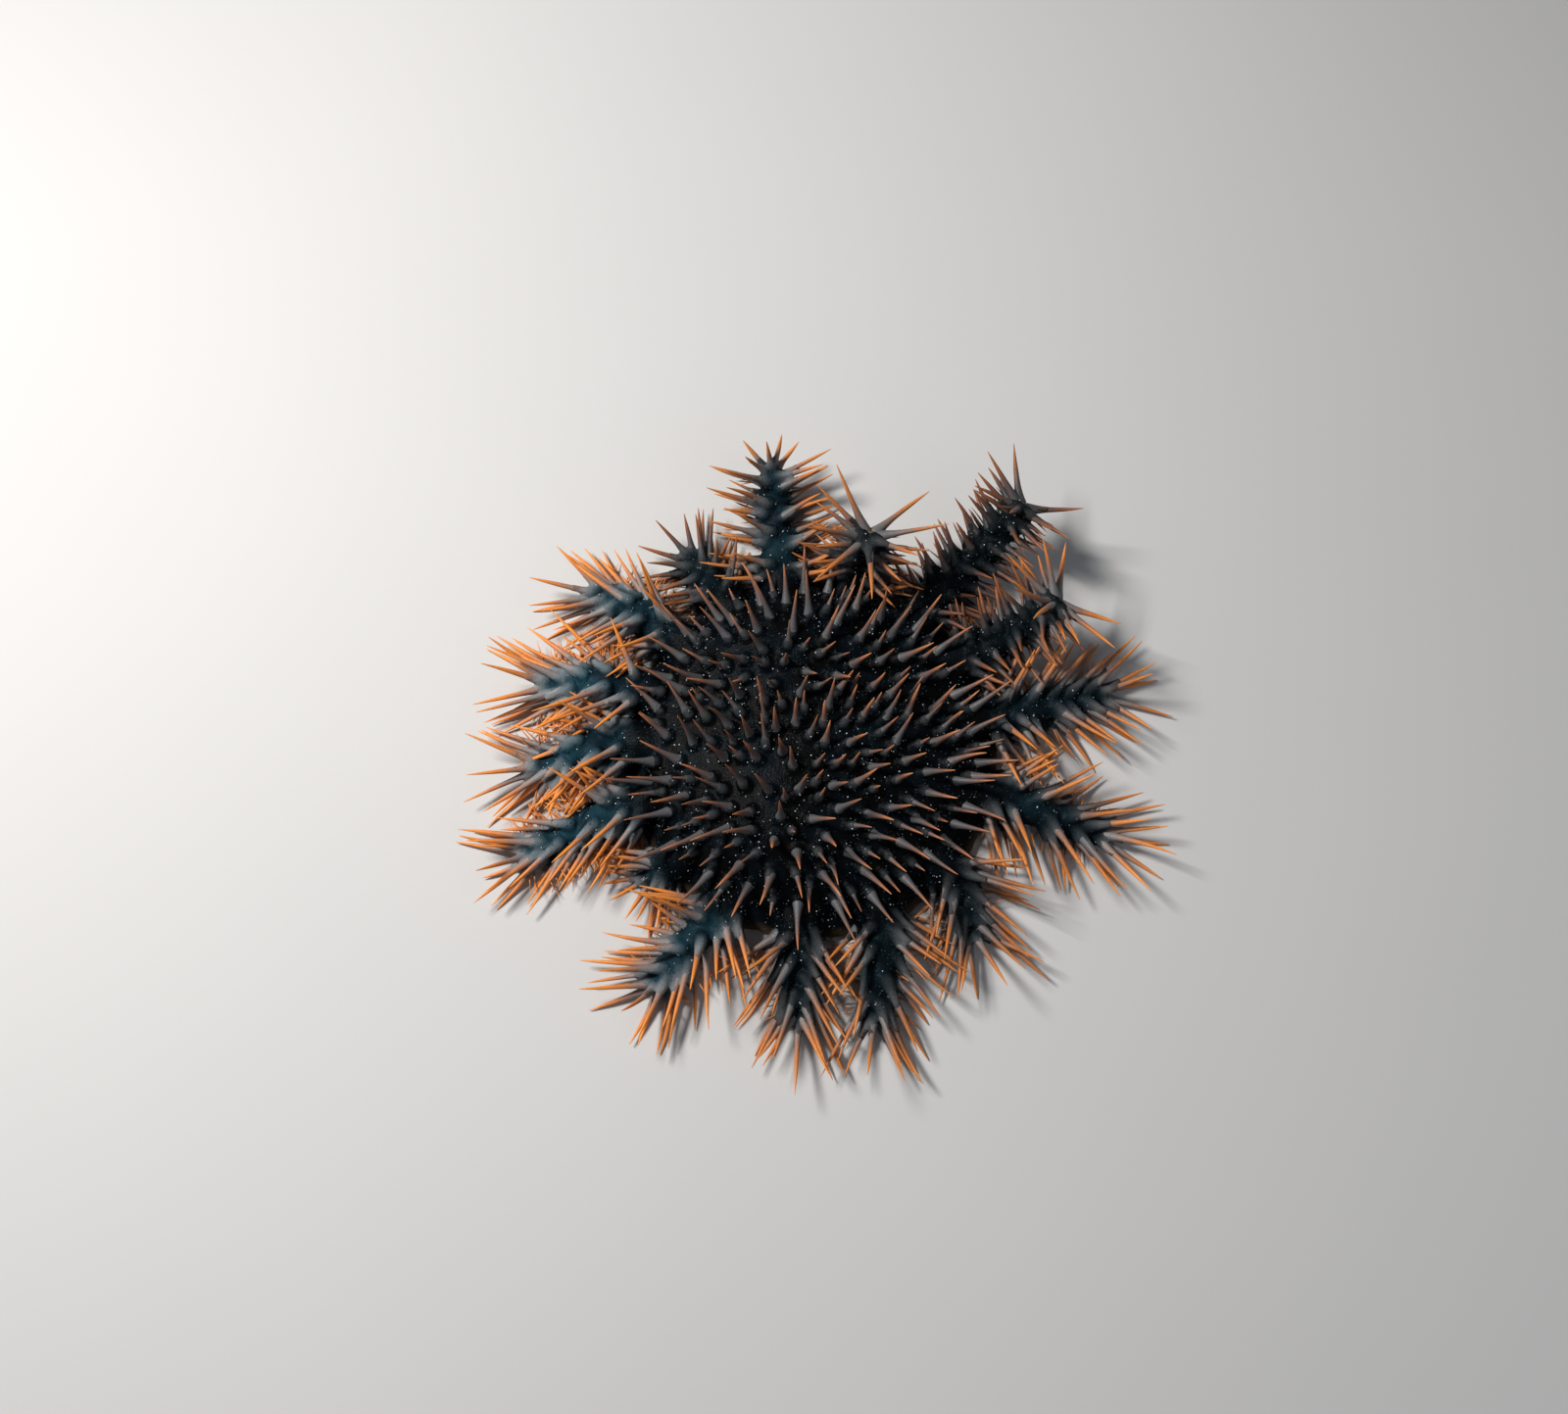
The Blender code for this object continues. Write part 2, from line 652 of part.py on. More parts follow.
def build():
    clear_scene()
    starfish = new_collection("crown_of_thorns_starfish")
    disc = disc_body(starfish)
    stubs = new_collection("disc_stubs")
    for name in ARM_NAMES:
        disc_stub(name, stubs)
    join_pieces(disc, stubs)
    bodies = {"disc": disc}
    for name in ARM_NAMES:
        bodies[name] = arm_body(name, starfish)
    surfaces = {name: surface_of(body) for name, body in bodies.items()}
    thicket = Thicket(surfaces)
    for name in ARM_NAMES:
        grow_arm_spines(thicket, name)
    grow_disc_spines(thicket, surfaces["disc"])
    for name, body in bodies.items():
        pieces = new_collection(name + "_spines")
        for number, spine in enumerate(thicket.spines):
            if spine["node"] == name:
                spine_piece(spine, number, pieces)
        join_pieces(body, pieces)
        colour = DISC_COLOUR if name == "disc" else ARM_COLOUR
        body.data.materials.clear()
        body.data.materials.append(skin_material(name + "_skin", colour))
        body.data.set_sharp_from_angle(angle=math.radians(40))


build()
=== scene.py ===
"""Looks of the crown of thorns starfish: one skin over the whole body, and every spine by itself.

Metres, +Z up, in the frame's own place: the origin is under the middle of the disc, on the floor.
"""

import math
import random

import bpy
import numpy as np
from mathutils import Matrix, Vector, noise
from mathutils.bvhtree import BVHTree
from mathutils.kdtree import KDTree


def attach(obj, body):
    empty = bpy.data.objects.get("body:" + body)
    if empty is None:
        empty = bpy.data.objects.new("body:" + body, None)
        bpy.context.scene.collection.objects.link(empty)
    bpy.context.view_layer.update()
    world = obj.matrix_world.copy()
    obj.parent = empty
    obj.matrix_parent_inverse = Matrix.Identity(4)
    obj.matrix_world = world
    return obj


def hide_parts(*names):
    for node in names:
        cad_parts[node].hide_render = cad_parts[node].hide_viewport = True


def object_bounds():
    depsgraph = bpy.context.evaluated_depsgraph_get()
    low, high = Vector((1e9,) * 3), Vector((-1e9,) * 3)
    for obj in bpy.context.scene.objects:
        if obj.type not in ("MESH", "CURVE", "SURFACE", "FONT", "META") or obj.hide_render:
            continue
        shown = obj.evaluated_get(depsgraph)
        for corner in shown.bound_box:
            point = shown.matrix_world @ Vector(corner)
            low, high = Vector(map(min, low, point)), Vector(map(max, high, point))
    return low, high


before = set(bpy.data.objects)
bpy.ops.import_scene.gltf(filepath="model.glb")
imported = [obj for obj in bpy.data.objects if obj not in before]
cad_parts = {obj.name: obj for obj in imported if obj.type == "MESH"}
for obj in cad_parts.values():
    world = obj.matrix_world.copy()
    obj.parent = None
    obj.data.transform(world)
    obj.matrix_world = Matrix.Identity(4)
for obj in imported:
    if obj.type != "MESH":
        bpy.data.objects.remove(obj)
CAD_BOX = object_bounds()

SEED = 41

# Camera: where the photograph looks from, and the point of the animal that a known pixel shows
IMAGE_SIZE = (1600, 1443)
METRES_PER_PIXEL = 0.00045
TARGET = Vector((0.0, 0.0, 0.020))
TARGET_PIXEL = (828, 760)
VIEW_ELEVATION = 75.0
VIEW_DISTANCE = 0.80
SENSOR_WIDTH = 36.0

# Disc: a low dome with two humps and a shallow valley between them
DISC_RADIUS = 0.0775
DISC_RIM_HEIGHT = 0.0225
DISC_RISE = 0.0105
DISC_RIM_MIDDLE = 0.011
HUMPS = ((-0.014, -0.050, 0.0075, 0.026), (-0.014, 0.047, 0.0060, 0.022))
VALLEY_Y = 0.022
VALLEY_DEPTH = 0.0030
VALLEY_WIDTH = 0.011
DISC_SIDES = 120
DISC_RINGS = 60
DISC_SPINE_FIELD = 0.0755
DISC_LEAN = 3.0
DISC_RIM_LEAN = 0.95
DISC_RIM_POWER = 5
SLOPE_STEP = 0.001
DISC_DRIFT = 0.22
DISC_DRIFT_START = -0.030
DISC_DRIFT_WIDTH = 0.045

# Arms: where each leaves the disc, and how thick it is
ARM_START_RADIUS = 0.036
ARM_ROOT_RADIUS = 0.0805
ARM_ROOT_THICKNESS = 0.0112
ARM_MIDDLE_THICKNESS = 0.0067
ARM_TIP_THICKNESS = 0.0051
ARM_ROUND_END = 0.12
ARM_LAST_RING = 0.28
ARM_HANDLE = 0.38
ARM_ROOM = 0.48
FLOOR_SINK = 0.68
ARM_FOOT_PART = 0.14
UNDER_DOME = (-1.0, -0.5)
NEAR = 0.01

# Each arm: the angle where it leaves the disc, the place of its tip, and the height of its arch or,
# where its end curls up, the angle at which it points up. Then its spines: how far they lean towards
# its end, at its root and its tip, how far they are turned sideways, where they are, and how long
# they are in its rows and round its tip
ARMS = {
    "arm_01": dict(angle=10, tip=(0.1370, 0.0285), arch=0.004, lean=(24, 46), turn=-12, long=(0.95, 0.95)),
    "arm_02": dict(angle=31, tip=(0.1125, 0.0615, 0.044), curl=68, lean=(16, 16), long=(0.62, 0.90)),
    "arm_03": dict(angle=52, tip=(0.0985, 0.1095, 0.040), curl=66, lean=(16, 16), long=(0.62, 0.80)),
    "arm_04": dict(angle=76, tip=(0.0262, 0.0907, 0.052), curl=76, lean=(16, 16), long=(0.70, 1.00)),
    "arm_05": dict(angle=99, tip=(-0.0190, 0.1370, 0.018), curl=40, lean=(8, 22), long=(0.80, 0.58)),
    "arm_06": dict(angle=120, tip=(-0.0575, 0.0960), arch=0.002, lean=(24, 36), turn=14, long=(0.75, 0.70)),
    "arm_07": dict(angle=140, tip=(-0.1020, 0.0785), arch=0.006, lean=(34, 56), turn=24, long=(0.95, 0.95)),
    "arm_08": dict(angle=160, tip=(-0.1240, 0.0330), arch=0.006, lean=(44, 64), long=(1.12, 1.08)),
    "arm_09": dict(angle=178, tip=(-0.1270, -0.0070), arch=0.007, lean=(46, 66), long=(1.15, 1.10)),
    "arm_10": dict(angle=198, tip=(-0.1310, -0.0490), arch=0.005, lean=(44, 64), turn=-4, long=(0.98, 0.98)),
    "arm_11": dict(angle=219, tip=(-0.0745, -0.0600), arch=0.0, lean=(30, 50), long=(0.72, 0.72)),
    "arm_12": dict(angle=241, tip=(-0.0700, -0.1085), arch=0.005, lean=(28, 50), turn=-10, long=(0.95, 0.95)),
    "arm_13": dict(angle=266, tip=(-0.0060, -0.1215), arch=0.001, lean=(46, 64), long=(1.00, 1.00)),
    "arm_14": dict(angle=291, tip=(0.0280, -0.1230), arch=0.004, lean=(44, 62), turn=4, long=(1.03, 1.03)),
    "arm_15": dict(angle=318, tip=(0.0735, -0.0850), arch=0.002, lean=(44, 60), long=(1.05, 1.00)),
    "arm_16": dict(angle=345, tip=(0.1325, -0.0390), arch=0.005, lean=(30, 54), turn=-4, long=(1.00, 1.00)),
}

# How lit each arm is painted, in its skin, then in the spines of its rows and those of its tip, from 0 to 1:
# painted light and shade, partly also a real difference in colour between arms
LIGHTS = {
    "arm_01": (0.24, 0.70, 0.86),
    "arm_02": (0.05, 0.16, 0.70),
    "arm_03": (0.02, 0.05, 0.16),
    "arm_04": (0.10, 0.36, 0.56),
    "arm_05": (0.50, 0.66, 0.78),
    "arm_06": (0.18, 0.22, 0.24),
    "arm_07": (0.84, 0.95, 1.00),
    "arm_08": (1.00, 1.00, 1.00),
    "arm_09": (0.96, 1.00, 1.00),
    "arm_10": (0.90, 1.00, 1.00),
    "arm_11": (0.40, 0.85, 0.90),
    "arm_12": (0.72, 0.88, 0.96),
    "arm_13": (0.12, 0.58, 0.78),
    "arm_14": (0.18, 0.60, 0.80),
    "arm_15": (0.12, 0.54, 0.72),
    "arm_16": (0.26, 0.74, 1.00),
}
LIGHT_TURNS = (0.84, 0.97)

# Arms whose finer spines stand closer together
DENSER = {"arm_07": 1.4, "arm_08": 1.9, "arm_09": 2.0, "arm_10": 1.8, "arm_12": 1.2}
ARM_NAMES = sorted(ARMS)
ARM_FRAMES = 72
ARM_SIDES = 40

# Skin: voxel and triangle sizes, how far it is smoothed, and its slow waves
VOXEL = 0.00075
SKIN_TRIANGLES = 190000
SKIN_SMOOTHING = 3
WAVE_HEIGHT = 0.00045
WAVE_SCALE = 110.0

# Skin drawn up round each spine's root: radius at the skin, radius at its top, height
ARM_PEDESTAL = (0.0037, 0.00145, 0.0125)
FLANK_PEDESTAL = (0.0027, 0.00130, 0.0095)
DISC_PEDESTAL = (0.0038, 0.00190, 0.0040)
SMALL_PEDESTAL = (0.0021, 0.00105, 0.0050)
RIDGE_ANGLE = 70
PEDESTAL_HOLLOW = 2.1
PEDESTAL_SHARE = 0.38
PEDESTAL_SINK = 0.0030
PEDESTAL_SIDES = 14
PEDESTAL_RINGS = 7

# Spines: radius at the root and of the shaft
ARM_SPINE = (0.0030, 0.00150)
DISC_SPINE = (0.0029, 0.00160)
SPINE_SIDES = 12
SPINE_RINGS = 16
FRINGE_SIDES = 6
FRINGE_RINGS = 6
FOOT_SIDES = 8
FOOT_RINGS = 5
SPINE_SINK = 0.0012
SPINE_BEND = 0.030

# Profile of a spine: share of the length that its flared root takes, and how its shaft thins
ARM_PROFILE = (0.44, 0.40, 0.51)
DISC_PROFILE = (0.50, 0.66, 0.26)
FOOT_PROFILE = (0.30, 0.10, 0.25)
SHARP = 0.985
LONGEST_SPINE = 0.050
WELD = 1e-6

# Room round a spine's shaft at its root, and how much less its point needs
ROOM = 1.05
ROOM_TAPER = 0.6


def outward(angle):
    turn = math.radians(angle)
    return Vector((math.cos(turn), math.sin(turn), 0.0))


def disc_height(x, y):
    """Height of the dome over a point of the floor, before its rim rounds off."""
    rest = max(0.0, 1.0 - (x * x + y * y) / DISC_RADIUS**2)
    height = DISC_RIM_HEIGHT + DISC_RISE * rest
    for hump_x, hump_y, rise, width in HUMPS:
        off = ((x - hump_x) ** 2 + (y - hump_y) ** 2) / (2 * width * width)
        height += rise * math.exp(-off)
    height -= VALLEY_DEPTH * math.exp(-((y - VALLEY_Y) ** 2) / (2 * VALLEY_WIDTH**2))
    return height


def disc_lean(x, y):
    """Which way a spine of the disc points.

    It leans away from the nearer hump's top, out at the rim, and a little back in the back half.
    """
    step = SLOPE_STEP
    slope_x = (disc_height(x + step, y) - disc_height(x - step, y)) / (2 * step)
    slope_y = (disc_height(x, y + step) - disc_height(x, y - step)) / (2 * step)
    rim = DISC_RIM_LEAN * (math.hypot(x, y) / DISC_SPINE_FIELD) ** DISC_RIM_POWER
    reach = max(math.hypot(x, y), 1e-6)
    drift = DISC_DRIFT * min(1.0, max(0.0, (y - DISC_DRIFT_START) / DISC_DRIFT_WIDTH))
    return Vector(
        (
            -DISC_LEAN * slope_x + rim * x / reach,
            -DISC_LEAN * slope_y + rim * y / reach + drift,
            1.0,
        )
    )


def root_thickness(name):
    """Half the width of an arm where it leaves the disc, kept inside its share of the rim."""
    here = ARM_NAMES.index(name)
    angle = ARMS[name]["angle"]
    after = ARMS[ARM_NAMES[(here + 1) % len(ARM_NAMES)]]["angle"]
    before = ARMS[ARM_NAMES[here - 1]]["angle"]
    nearest = min((after - angle) % 360, (angle - before) % 360)
    share = 2 * ARM_ROOT_RADIUS * math.sin(math.radians(nearest / 2))
    return min(ARM_ROOT_THICKNESS, ARM_ROOM * share)


def round_end(t):
    """Share of the thickness that is left where an arm's end rounds off."""
    past = max(0.0, (t - (1.0 - ARM_ROUND_END)) / ARM_ROUND_END)
    return math.sqrt(1.0 - (1.0 - ARM_LAST_RING**2) * past**2)


def arm_thickness(name, t):
    """Radius of an arm, t being 0 at its root and 1 at its tip."""
    root = root_thickness(name)
    if t < 0.5:
        return root + (ARM_MIDDLE_THICKNESS - root) * max(t, 0.0) / 0.5
    return ARM_MIDDLE_THICKNESS + (ARM_TIP_THICKNESS - ARM_MIDDLE_THICKNESS) * (t - 0.5) / 0.5


def arm_handles(name):
    """The four control points of the cubic that an arm follows beyond its root plane."""
    arm = ARMS[name]
    way = outward(arm["angle"])
    start = way * ARM_ROOT_RADIUS
    start.z = root_thickness(name) * FLOOR_SINK
    x, y, z = (*arm["tip"], ARM_TIP_THICKNESS * FLOOR_SINK)[:3]
    end = Vector((x, y, z))
    flat = Vector((end.x - start.x, end.y - start.y, 0.0)).normalized()
    rise = math.radians(arm.get("curl", 0))
    point_way = flat * math.cos(rise) + Vector((0.0, 0.0, math.sin(rise)))
    handle = (end - start).length * ARM_HANDLE
    return start, start + way * handle, end - point_way * handle, end


def arm_centre(name, t):
    """A point of an arm's middle line. Below 0 it runs straight in under the dome."""
    start, first, second, end = arm_handles(name)
    if t < 0.0:
        way = outward(ARMS[name]["angle"])
        return start + way * (t * (ARM_ROOT_RADIUS - ARM_START_RADIUS))
    u = 1.0 - t
    point = start * u**3 + first * (3 * u * u * t) + second * (3 * u * t * t) + end * t**3
    if "arch" in ARMS[name]:
        along = min(1.0, max(0.0, (t - ARM_FOOT_PART) / (1.0 - 2 * ARM_FOOT_PART)))
        arch = ARMS[name]["arch"] * math.sin(math.pi * along) ** 2
        point.z = arm_thickness(name, t) * FLOOR_SINK + arch
    return point


def arm_frames(name, count):
    """Points along an arm with its forward, upward and sideways directions carried along it."""
    frames = []
    way = outward(ARMS[name]["angle"])
    up = Vector((0.0, 0.0, 1.0))
    travelled = 0.0
    before = arm_centre(name, 0.0)
    for step in range(count + 1):
        t = step / count
        centre = arm_centre(name, t)
        travelled += (centre - before).length
        if step:
            ahead = arm_centre(name, min(1.0, t + NEAR))
            way = (ahead - arm_centre(name, t - NEAR)).normalized()
        up = (up - way * up.dot(way)).normalized()
        frames.append((t, travelled, centre, way, up, way.cross(up)))
        before = centre
    return frames


FRAMES = {name: arm_frames(name, ARM_FRAMES) for name in ARM_NAMES}


def frame_at(frames, distance):
    """The frame nearest to a distance along the arm."""
    return min(frames, key=lambda one: abs(one[1] - distance))


def side_way(up, side, angle):
    turn = math.radians(angle)
    return up * math.cos(turn) + side * math.sin(turn)


def smooth_step(low, high, value):
    share = np.clip((value - low) / (high - low), 0.0, 1.0)
    return share * share * (3.0 - 2.0 * share)


# Mesh helpers


def new_piece(name, points, faces):
    """An object of its own from points and faces, shaded smooth."""
    mesh = bpy.data.meshes.new(name)
    mesh.from_pydata([tuple(point) for point in points], [], [tuple(face) for face in faces])
    mesh.validate()
    mesh.shade_smooth()
    made = bpy.data.objects.new(name, mesh)
    bpy.context.scene.collection.objects.link(made)
    return made


def grid_faces(rings, sides, offset):
    """Quads between rings of points, and a flat face on the first ring."""
    faces = []
    for ring in range(rings - 1):
        for side in range(sides):
            after = (side + 1) % sides
            low = offset + ring * sides
            faces.append((low + side, low + after, low + sides + after, low + sides + side))
    faces.append(tuple(offset + side for side in reversed(range(sides))))
    return faces


def set_values(item, name, values):
    """Keeps a number for each vertex, which a material reads by its name."""
    attribute = item.data.attributes.new(name, "FLOAT", "POINT")
    attribute.data.foreach_set("value", np.asarray(values, dtype=np.float32))


def values_of(item, name):
    values = np.empty(len(item.data.vertices), dtype=np.float32)
    item.data.attributes[name].data.foreach_get("value", values)
    return values


def points_of(mesh, kind="co"):
    points = np.empty(len(mesh.vertices) * 3, dtype=np.float32)
    mesh.vertices.foreach_get(kind, points)
    return points.reshape(-1, 3).astype(float)


def move_points(mesh, points):
    """Puts the vertices where they are told, none of them below the floor."""
    points[:, 2] = np.maximum(points[:, 2], 0.0)
    mesh.vertices.foreach_set("co", points.astype(np.float32).ravel())
    mesh.update()


def corners_of(mesh):
    """The vertex at each corner of each face."""
    corners = np.empty(len(mesh.loops), dtype=np.int32)
    mesh.loops.foreach_get("vertex_index", corners)
    return corners


def set_unwrap(mesh, u, v):
    layer = mesh.uv_layers.new(name="OFBake")
    layer.data.foreach_set("uv", np.stack((u, v), axis=1).astype(np.float32).ravel())


def triangles_of(mesh):
    return sum(len(face.vertices) - 2 for face in mesh.polygons)


# Flesh: the disc and the arms before their spines


def disc_flesh():
    """Points and faces of the disc: a sphere drawn out to the dome's outline and heights."""
    sides, rings = DISC_SIDES, DISC_RINGS
    points, faces = [], []
    for ring in range(1, rings):
        turn = math.pi * (1.0 - ring / rings)
        for side in range(sides):
            around = 2 * math.pi * side / sides
            x = math.sin(turn) * math.cos(around) * DISC_RADIUS
            y = math.sin(turn) * math.sin(around) * DISC_RADIUS
            level = math.cos(turn)
            if level >= 0.0:
                fullness = level * math.sqrt(2.0 - level**2)
                z = DISC_RIM_MIDDLE + (disc_height(x, y) - DISC_RIM_MIDDLE) * fullness
            else:
                z = DISC_RIM_MIDDLE * (1.0 + 2.0 * level)
            points.append((x, y, max(z, 0.0)))
    faces = grid_faces(rings - 1, sides, 0)
    faces.append(tuple((rings - 2) * sides + side for side in range(sides)))
    return points, faces


def arm_flesh(name):
    """Points and faces of an arm, from under the dome to its round end."""
    way = outward(ARMS[name]["angle"])
    up = Vector((0.0, 0.0, 1.0))
    rings = [(t, arm_centre(name, t), up, way.cross(up)) for t in UNDER_DOME]
    rings += [(t, centre, up, side) for t, _, centre, _, up, side in FRAMES[name]]
    points = []
    for t, centre, up, side in rings:
        radius = arm_thickness(name, t) * round_end(t)
        for step in range(ARM_SIDES):
            point = centre + side_way(up, side, -360 * step / ARM_SIDES) * radius
            points.append((point.x, point.y, max(point.z, 0.0)))
    _, _, centre, way, _, _ = FRAMES[name][-1]
    end = centre + way * ARM_TIP_THICKNESS * ARM_LAST_RING
    faces = grid_faces(len(rings), ARM_SIDES, 0)
    last = (len(rings) - 1) * ARM_SIDES
    points.append((end.x, end.y, max(end.z, 0.0)))
    for side in range(ARM_SIDES):
        faces.append((last + side, last + (side + 1) % ARM_SIDES, len(points) - 1))
    return points, faces


# Web of skin low down between the roots of the arms: its reach, how far its edge draws in between
# two arms, and its section from the middle of its underside round to its top
WEB_REACH = 0.0915
WEB_NOTCH = 0.0050
WEB_NOTCH_POWER = 0.7
WEB_SIDES = 240
WEB_SECTION = (
    (0.70, 0.0000),
    (0.975, 0.0000),
    (0.995, 0.0014),
    (1.000, 0.0030),
    (0.985, 0.0052),
    (0.950, 0.0080),
    (0.900, 0.0104),
    (0.820, 0.0124),
    (0.700, 0.0124),
)


def web_flesh():
    """Points and faces of the web: a low ring round the disc with a scalloped edge."""
    angles = [ARMS[name]["angle"] for name in ARM_NAMES]
    reaches = []
    for side in range(WEB_SIDES):
        turn = 360.0 * side / WEB_SIDES
        after = min((angle - turn) % 360 for angle in angles)
        before = min((turn - angle) % 360 for angle in angles)
        middle = 1.0 - abs(after - before) / max(after + before, 1.0)
        reaches.append(WEB_REACH - WEB_NOTCH * middle**WEB_NOTCH_POWER)
    points = []
    for share, height in WEB_SECTION:
        for side, reach in enumerate(reaches):
            point = outward(360.0 * side / WEB_SIDES) * reach * share
            points.append((point.x, point.y, height))
    faces = grid_faces(len(WEB_SECTION), WEB_SIDES, 0)
    last = (len(WEB_SECTION) - 1) * WEB_SIDES
    faces.append(tuple(last + side for side in range(WEB_SIDES)))
    return points, faces


def gather(shapes):
    """Several lists of points and faces as one."""
    points, faces = [], []
    for some_points, some_faces in shapes:
        offset = len(points)
        points.extend(some_points)
        faces.extend(tuple(corner + offset for corner in face) for face in some_faces)
    return points, faces


FLESH = {"disc": disc_flesh(), "web": web_flesh()}
for arm_name in ARM_NAMES:
    FLESH[arm_name] = arm_flesh(arm_name)
FLESH_TREE = BVHTree.FromPolygons(*gather(FLESH.values()))


# Spines: those of the solids, and finer ones between them


class Spines:
    """Every spine as arrays: root on the skin, unit direction, length, radii and looks."""

    def __init__(self):
        self.rows = []

    def add(self, node, kind, root, way, length, foot, shaft, light):
        self.rows.append(
            dict(
                node=node,
                kind=kind,
                root=np.array(root, dtype=float),
                way=np.array(Vector(way).normalized(), dtype=float),
                length=float(length),
                foot=foot,
                shaft=shaft,
                light=light,
            )
        )

    def clear(self, root, way, length, shaft):
        """Whether a new spine passes clear of all others, apart from near its root."""
        if not self.rows:
            return True
        starts = np.array([row["root"] for row in self.rows])
        ways = np.array([row["way"] * row["length"] for row in self.rows])
        shafts = np.array([row["shaft"] for row in self.rows])
        mine = way * length
        apart = root - starts
        a = mine @ mine
        e = np.einsum("ij,ij->i", ways, ways)
        b = ways @ mine
        c = apart @ mine
        f = np.einsum("ij,ij->i", ways, apart)
        scale = np.maximum(a * e - b * b, 1e-14)
        s = np.clip((b * f - c * e) / scale, 0.0, 1.0)
        t = np.clip((b * s + f) / e, 0.0, 1.0)
        s = np.clip((b * t - c) / a, 0.0, 1.0)
        gap = np.linalg.norm(apart + s[:, None] * mine - t[:, None] * ways, axis=1)
        room = shafts * (ROOM - ROOM_TAPER * t) + shaft * (ROOM - ROOM_TAPER * s)
        return bool((gap > room).all())


def solid_spines(node):
    """Tip, direction and length of each spine of a solid.

    A tip is a corner that all its edges leave almost the same way.
    """
    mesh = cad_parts[node].data
    keys = np.round(points_of(mesh) / WELD).astype(np.int64)
    corners, place = np.unique(keys, axis=0, return_inverse=True)
    place = place.reshape(-1)
    points = corners * WELD
    edges = np.empty(len(mesh.edges) * 2, dtype=np.int32)
    mesh.edges.foreach_get("vertices", edges)
    edges = np.unique(np.sort(place[edges].reshape(-1, 2), axis=1), axis=0)
    edges = edges[edges[:, 0] != edges[:, 1]]
    ways = points[edges[:, 1]] - points[edges[:, 0]]
    units = ways / np.linalg.norm(ways, axis=1)[:, None]
    total = np.zeros_like(points)
    unit_total = np.zeros_like(points)
    number = np.zeros(len(points))
    for end, sign in ((0, 1.0), (1, -1.0)):
        np.add.at(total, edges[:, end], ways * sign)
        np.add.at(unit_total, edges[:, end], units * sign)
        np.add.at(number, edges[:, end], 1)
    sharp = np.linalg.norm(unit_total, axis=1) / np.maximum(number, 1) > SHARP
    found = []
    for corner in np.nonzero(sharp & (number > 2))[0]:
        back = Vector(total[corner]).normalized()
        tip = Vector(points[corner])
        root = FLESH_TREE.ray_cast(tip, back, LONGEST_SPINE)[0]
        if root is not None:
            found.append((root, -back, (tip - root).length))
    return found


def spine_light(name, root):
    """How lit a spine is painted, from its place along its arm: painted light and shade, partly a real
    difference in colour.
    """
    share = min(FRAMES[name], key=lambda one: (one[2] - root).length)[0]
    _, rows, tip = LIGHTS[name]
    return rows + (tip - rows) * float(smooth_step(*LIGHT_TURNS, share))


def read_solid_spines(spines):
    for name in ARM_NAMES:
        for root, way, length in solid_spines(name):
            spines.add(name, "main", root, way, length, *ARM_SPINE, spine_light(name, root))
    for root, way, length in solid_spines("disc"):
        spines.add("disc", "main", root, way, length, *DISC_SPINE, 0.0)


# Finer spines between those of the solids. Arm rows: the angle from the top at which they grow and
# the one they point to, spacing, length, radii
ARM_EXTRA_ROWS = (
    dict(kind="main", side=44, aim=64, spacing=0.0155, length=0.0300, radii=(0.0026, 0.00150)),
    dict(kind="main", side=80, aim=86, spacing=0.0145, length=0.0300, radii=(0.0020, 0.00135)),
    dict(kind="thin", side=106, aim=98, spacing=0.0070, length=0.0215, radii=(0.0014, 0.00100)),
)
ARM_EXTRA_FIRST = 0.004
ARM_EXTRA_LAST = 0.004
STEP_VARIES = 0.3
LENGTH_VARIES = 0.16
ANGLE_JITTER = 9
LEAN_VARIES = 12
TIP_FAN = dict(count=10, spread=(12, 66), around=220)
TIP_STAR = dict(count=16, spread=(18, 96), around=330)
STAR_CURL = 60
TIP_ROOT = 0.6
TIP_EXTRA_LENGTH = (0.019, 0.031)
TIP_EXTRA_RADII = (0.0017, 0.00115)
DISC_EXTRAS = 90
DISC_EXTRA_LOOKS = 30
DISC_EXTRA_TILT = 0.16
DISC_EXTRA_LENGTH = (0.0090, 0.0180)
DISC_EXTRA_RADII = (0.0023, 0.00125)
TRIES = 10
TURN_STEP = 4.0
SHORTER_STEP = 0.02
FLOOR_CLEAR = 0.0003
BOX_CLEAR = 0.0003
BODY_CLEAR = 0.0040

# Fringe of thin spines along both edges of an arm's underside
FRINGE_SIDE = (118, 134)
FRINGE_SPACING = 0.0023
FRINGE_STEP = (0.1, 0.9)
FRINGE_LENGTH = (0.0095, 0.0150)
FRINGE_RADII = (0.00075, 0.00058)
FRINGE_LEAN = (-14, 34)
FRINGE_PITCH = (-4, 30)
FRINGE_FLOOR = 0.0011
FRINGE_GROWS = 0.6


def fits(root, way, length, shaft):
    """Whether a spine stays above the floor, inside the solids' box and out of other flesh."""
    tip = root + way * length
    if tip.z < shaft + FLOOR_CLEAR:
        return False
    low, high = CAD_BOX
    for axis in range(3):
        if not low[axis] + BOX_CLEAR < tip[axis] < high[axis] - BOX_CLEAR:
            return False
    start = root + way * BODY_CLEAR
    return FLESH_TREE.ray_cast(start, way, length - BODY_CLEAR)[0] is None


